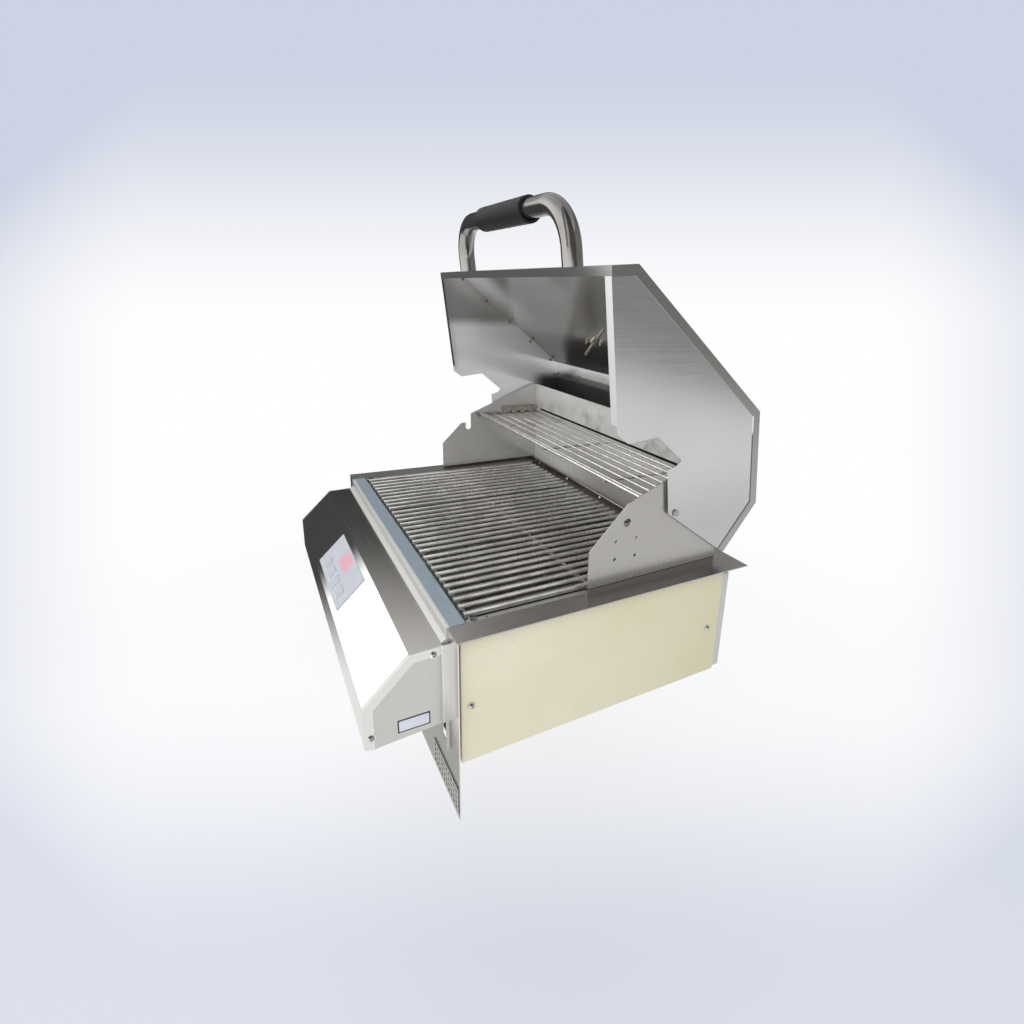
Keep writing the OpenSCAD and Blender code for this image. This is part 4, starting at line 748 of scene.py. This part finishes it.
# %% Helpers for new pieces
def points_of(geometry):
    """The vertices among what an operator gives back."""
    return [g for g in geometry if isinstance(g, bmesh.types.BMVert)]


def open_edges_of(geometry):
    """The edges with a face on one side only, among what an operator gives back."""
    return [g for g in geometry if isinstance(g, bmesh.types.BMEdge) and len(g.link_faces) == 1]


def standing_on(point, way):
    """The matrix that moves something made at the origin to a point and turns its Z to a direction."""
    return Matrix.Translation(point) @ way.to_track_quat("Z", "Y").to_matrix().to_4x4()


def finish_piece(name, mesh, material, body, node=None, crisp=40):
    """A new object from a bmesh; crisp is the angle in degrees above which an edge stays sharp."""
    bmesh.ops.remove_doubles(mesh, verts=mesh.verts, dist=0.01 * MM)
    bmesh.ops.recalc_face_normals(mesh, faces=mesh.faces)
    for face in mesh.faces:
        face.smooth = True
    for edge in mesh.edges:
        if len(edge.link_faces) == 2 and edge.calc_face_angle() > math.radians(crisp):
            edge.smooth = False
    data = bpy.data.meshes.new(name)
    mesh.to_mesh(data)
    mesh.free()
    piece = bpy.data.objects.new(name, data)
    scene.collection.objects.link(piece)
    data.materials.append(material)
    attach(piece, body)
    if node:
        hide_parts(node)
    print(name, "has", len(data.polygons), "faces")


# %% [markdown]
# The handle is one tube, bent twice. A real one is drawn round a former, and the mesh is made the same
# way: a ring of points is pushed straight, spun round the bend, pushed across, spun again and pushed
# down to the lid. A second ring does the same inside, and both are joined at the feet. The finer
# rings let the reflections run cleanly, which is what makes polished tube look polished.

# %% Handle
low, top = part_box("handle_tube")
out_of_lid = Vector((0, -0.1219, 0.9925))
along_lid = Vector(RIGHT)
foot_x, tube_r, tube_wall, bend_r, reach = 208 * MM, 15 * MM, 1.5 * MM, 62 * MM, 85 * MM
ring_points, bend_steps = 48, 24
axis_point = Vector((0, low.y + tube_r, top.z - tube_r))
straight_up = out_of_lid * (reach - bend_r)
straight_across = along_lid * 2 * (foot_x - bend_r)
handle = bmesh.new()
ends = []
for radius in (tube_r, tube_r - tube_wall):
    foot = axis_point - along_lid * foot_x - out_of_lid * reach
    made = bmesh.ops.create_circle(handle, segments=ring_points, radius=radius,
                                   matrix=standing_on(foot, out_of_lid))
    first = ring = list({e for v in made["verts"] for e in v.link_edges})
    for push, side in ((straight_up, -1), (straight_across, 1)):
        grown = bmesh.ops.extrude_edge_only(handle, edges=ring)["geom"]
        bmesh.ops.translate(handle, verts=points_of(grown), vec=push)
        ring = open_edges_of(grown)
        centre = axis_point + along_lid * side * (foot_x - bend_r) - out_of_lid * bend_r
        bent = bmesh.ops.spin(handle, geom=ring + list({v for e in ring for v in e.verts}), cent=centre,
                              axis=out_of_lid.cross(along_lid), angle=math.pi / 2, steps=bend_steps)
        ring = open_edges_of(bent["geom_last"])
    grown = bmesh.ops.extrude_edge_only(handle, edges=ring)["geom"]
    bmesh.ops.translate(handle, verts=points_of(grown), vec=-straight_up)
    ends += [first, open_edges_of(grown)]
bmesh.ops.bridge_loops(handle, edges=ends[0] + ends[2])
bmesh.ops.bridge_loops(handle, edges=ends[1] + ends[3])
finish_piece("bent_handle_tube", handle, tube_steel, "lid", "handle_tube")

# %% [markdown]
# The black sleeve is loose: a foam tube whose bore is a little wider than the handle, so it hangs with
# its top on the steel. It is a thin profile spun full circle round its own, lower axis. A slow noise
# moves the skin by a few tenths of a millimetre, because soft foam never stays perfectly round. The
# skin starts that much smaller, so that it never swells past the solid that it stands for.

# %% Sleeve
low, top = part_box("handle_grip")
outer_r, wall = (top.y - low.y) / 2, 4.4 * MM
swell_most, chamfer, swell_size = 0.3 * MM, 0.5 * MM, 17 * MM
skin_r, end_r = outer_r - 0.35 * MM, outer_r - 0.9 * MM
drop = outer_r - wall - tube_r
axis = axis_point - Vector((0, 0, drop))
stations = 30
profile = [(low.x, end_r), (low.x + chamfer, skin_r)]
profile += [(low.x + (top.x - low.x) * i / stations, skin_r) for i in range(1, stations)]
profile += [(top.x - chamfer, skin_r), (top.x, end_r)]
profile += [(x, outer_r - wall) for x, r in reversed(profile)]
sleeve = bmesh.new()
points = [sleeve.verts.new(axis + Vector((x, 0, r))) for x, r in profile]
loop = [sleeve.edges.new((a, b)) for a, b in zip(points, points[1:] + points[:1])]
bmesh.ops.spin(sleeve, geom=points + loop, cent=axis, axis=RIGHT, angle=2 * math.pi, steps=56,
               use_merge=True)
for vert in sleeve.verts:
    away = vert.co - axis
    away.x = 0
    swell = noise.noise(vert.co / swell_size) * swell_most
    vert.co += away.normalized() * min(swell, swell_most)
finish_piece("loose_grip_sleeve", sleeve, grip_foam, "lid", "handle_grip")
print("sleeve hangs", round(drop / MM, 2), "mm low")

# %% [markdown]
# Screws with a cross recess hold the caps, the boards and the deflector. A grid of nine by nine cells
# is mapped to a disc and domed; the cells of the cross are pushed down, and the rim is drawn down to the
# seat. Uneven grid lines make the arms of the cross narrow, as a real driver slot is.

# %% Recipe for a cross-recess screw
GRID_LINES = (-1, -0.8, -0.58, -0.34, -0.13, 0.13, 0.34, 0.58, 0.8, 1)
CELLS = len(GRID_LINES) - 1


def screw(mesh, seat, axis, head_r, head_h, core_r, length, washer=None):
    """Adds a screw whose head sits on the seat and points along the axis."""
    grid = bmesh.ops.create_grid(mesh, x_segments=CELLS, y_segments=CELLS, size=1)["verts"]
    faces = list({f for v in grid for f in v.link_faces})
    for vert in grid:
        x, y = (GRID_LINES[round((c + 1) * CELLS / 2)] for c in vert.co[:2])
        vert.co = (x, y, 0)
    cross = []
    for face in faces:
        across, along = sorted(abs(c) for c in face.calc_center_median()[:2])
        if across < 0.1 and along < 0.6:
            cross.append(face)
    for vert in grid:
        x, y = vert.co[:2]
        x, y = x * math.sqrt(1 - y * y / 2), y * math.sqrt(1 - x * x / 2)
        vert.co = (x * head_r, y * head_r, head_h * (1 - 0.7 * (x * x + y * y)))
    rim = [e for v in grid for e in v.link_edges if len(e.link_faces) == 1]
    sunk = points_of(bmesh.ops.extrude_face_region(mesh, geom=cross)["geom"])
    bmesh.ops.delete(mesh, geom=cross, context="FACES_ONLY")
    bmesh.ops.translate(mesh, verts=sunk, vec=(0, 0, -0.6 * head_h))
    skirt = bmesh.ops.extrude_edge_only(mesh, edges=list(set(rim)))["geom"]
    for vert in points_of(skirt):
        vert.co.z = 0
    bmesh.ops.contextual_create(mesh, geom=open_edges_of(skirt))
    core = bmesh.ops.create_cone(mesh, cap_ends=True, segments=20, radius1=core_r * 0.8,
                                 radius2=core_r, depth=length,
                                 matrix=Matrix.Translation((0, 0, -length / 2)))["verts"]
    placed = grid + sunk + points_of(skirt) + core
    if washer:
        ring_r, thick = washer
        placed += bmesh.ops.create_cone(mesh, cap_ends=True, segments=40, radius1=ring_r,
                                        radius2=ring_r - 0.25 * MM, depth=thick,
                                        matrix=Matrix.Translation((0, 0, -thick / 2)))["verts"]
    bmesh.ops.transform(mesh, matrix=standing_on(seat, axis), verts=list(set(placed)))


print("screw heads have", CELLS * CELLS, "cells before the recess")

# %% [markdown]
# Each group of screws stands for one group of solids. The caps have two screws each, the boards two
# each with a washer, and the deflector has five, evenly spaced along its front.

# %% Cross-recess screws
caps = bmesh.new()
for side in (-1, 1):
    for y, z in ((-19, -27.8), (-96.3, -119)):
        screw(caps, Vector((side * 327, y, z)) * MM, Vector((side, 0, 0)), head_r=4.2 * MM,
              head_h=2.8 * MM, core_r=1.6 * MM, length=12 * MM)
finish_piece("cross_screws_caps", caps, zinc_steel, "grill", "cap_screws")

low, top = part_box("board_screws")
washer_r, washer_thick, head_out = 5.5 * MM, 1.5 * MM, 2.5 * MM
boards = bmesh.new()
for side in (-1, 1):
    for y in (low.y + washer_r, top.y - washer_r):
        screw(boards, Vector((side * (top.x - head_out), y, (low.z + top.z) / 2)),
              Vector((side, 0, 0)), head_r=3.75 * MM, head_h=head_out, core_r=1.9 * MM,
              length=19 * MM, washer=(washer_r, washer_thick))
finish_piece("cross_screws_boards", boards, zinc_steel, "grill", "board_screws")

low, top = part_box("deflector_screws")
head_out, spacing = 2 * MM, 139 * MM
tins = bmesh.new()
for i in range(-2, 3):
    screw(tins, Vector((i * spacing, low.y + head_out, (low.z + top.z) / 2)), Vector((0, -1, 0)),
          head_r=4 * MM, head_h=head_out, core_r=1.5 * MM, length=9 * MM)
finish_piece("cross_screws_deflector", tins, zinc_steel, "grill", "deflector_screws")

# %% [markdown]
# Each cooking rod is spot-welded to three cross bars, and every weld leaves a small bead on both sides
# of the rod. There are 180 beads, so each is only a coarse ball; a noise makes no two quite alike. The
# beads of one grate are one piece, because the grates lift out separately.

# %% Weld beads
rods_in_grate, rod_r, pitch = 10, 4.4, 20.2
cross_bars = (32, 216, 400)
bead_off, bead_z, bead_r, bead_change = 4.1, 0.3, 1.9, 0.6
for name, body in (("grate_left", "left_grate"), ("grate_centre", "centre_grate"),
                   ("grate_right", "right_grate")):
    low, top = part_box(name)
    beads = bmesh.new()
    for k in range(rods_in_grate):
        for y in cross_bars:
            for side in (-1, 1):
                x = low.x / MM + rod_r + k * pitch + side * bead_off
                size = (bead_r + bead_change * noise.noise((x, y, side))) * MM
                bmesh.ops.create_icosphere(beads, subdivisions=1, radius=size,
                                           matrix=Matrix.Translation(Vector((x, y, bead_z)) * MM))
    finish_piece("weld_beads_" + body, beads, rod_steel, body, crisp=80)

# %% [markdown]
# The thermometer's dial is outside, on the slope of the lid, so the main view doesn't show it. It still
# gets a white face, a thin disc that lies on the floor of the case, under the pointer and the glass.
# The direction of the pointer at rest is where the scale starts.

# %% Dial face
outward = Vector((0, 0.622542, 0.782586))
case_middle = Vector((0, 393.023, 322.312)) * MM
floor_thick, face_thick = 3.05 * MM, 0.6 * MM
dial_base = case_middle + outward * floor_thick
low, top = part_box("thermometer_pointer")
tip = (low + top) / 2 - dial_base
tip = (tip - outward * tip.dot(outward)).normalized()
face_mesh = bmesh.new()
bmesh.ops.create_cone(face_mesh, cap_ends=True, segments=72, radius1=34.8 * MM, radius2=34.8 * MM,
                      depth=face_thick, matrix=standing_on(dial_base + outward * face_thick / 2, outward))
finish_piece("dial_face", face_mesh, dial_white, "lid")

# %% [markdown]
# The scale has thirteen marks over three quarters of a turn. Every third mark is long and has a plain
# number, from 50 to 350. The numbers are text that is turned into mesh before it gets its place. They
# stand upright for a person in front of the closed lid.

# %% Dial marks
MARKS, STEP = 13, math.radians(22.5)
mark_end, number_at = 32.5, 20.5
mark_lift, number_lift = 0.05 * MM, 0.06 * MM
upright = Matrix((Vector((-1, 0, 0)), outward.cross(Vector((-1, 0, 0))), outward)).transposed()
marks = bmesh.new()
for k in range(MARKS):
    way = Matrix.Rotation(-STEP * k, 3, outward) @ tip
    basis = Matrix((outward.cross(way), way, outward)).transposed().to_4x4()
    numbered = k % 3 == 0
    long = 6 if numbered else 3.5
    spot = dial_base + way * (mark_end - long / 2) * MM + outward * (face_thick + mark_lift)
    bmesh.ops.create_cube(marks, size=1, matrix=Matrix.Translation(spot) @ basis
                          @ Matrix.Diagonal((0.8 * MM, long * MM, 0.1 * MM, 1)))
    if numbered:
        glyph = bpy.data.curves.new("number", "FONT")
        glyph.body = str(50 + 25 * k)
        glyph.size = 6 * MM
        glyph.extrude = 0.05 * MM
        glyph.align_x = glyph.align_y = "CENTER"
        holder = bpy.data.objects.new("number", glyph)
        scene.collection.objects.link(holder)
        cut = bpy.data.meshes.new_from_object(holder.evaluated_get(bpy.context.evaluated_depsgraph_get()))
        spot = dial_base + way * number_at * MM + outward * (face_thick + number_lift)
        cut.transform(Matrix.Translation(spot) @ upright.to_4x4())
        marks.from_mesh(cut)
        bpy.data.objects.remove(holder)
        bpy.data.curves.remove(glyph)
        bpy.data.meshes.remove(cut)
finish_piece("dial_marks", marks, ink, "lid", crisp=30)
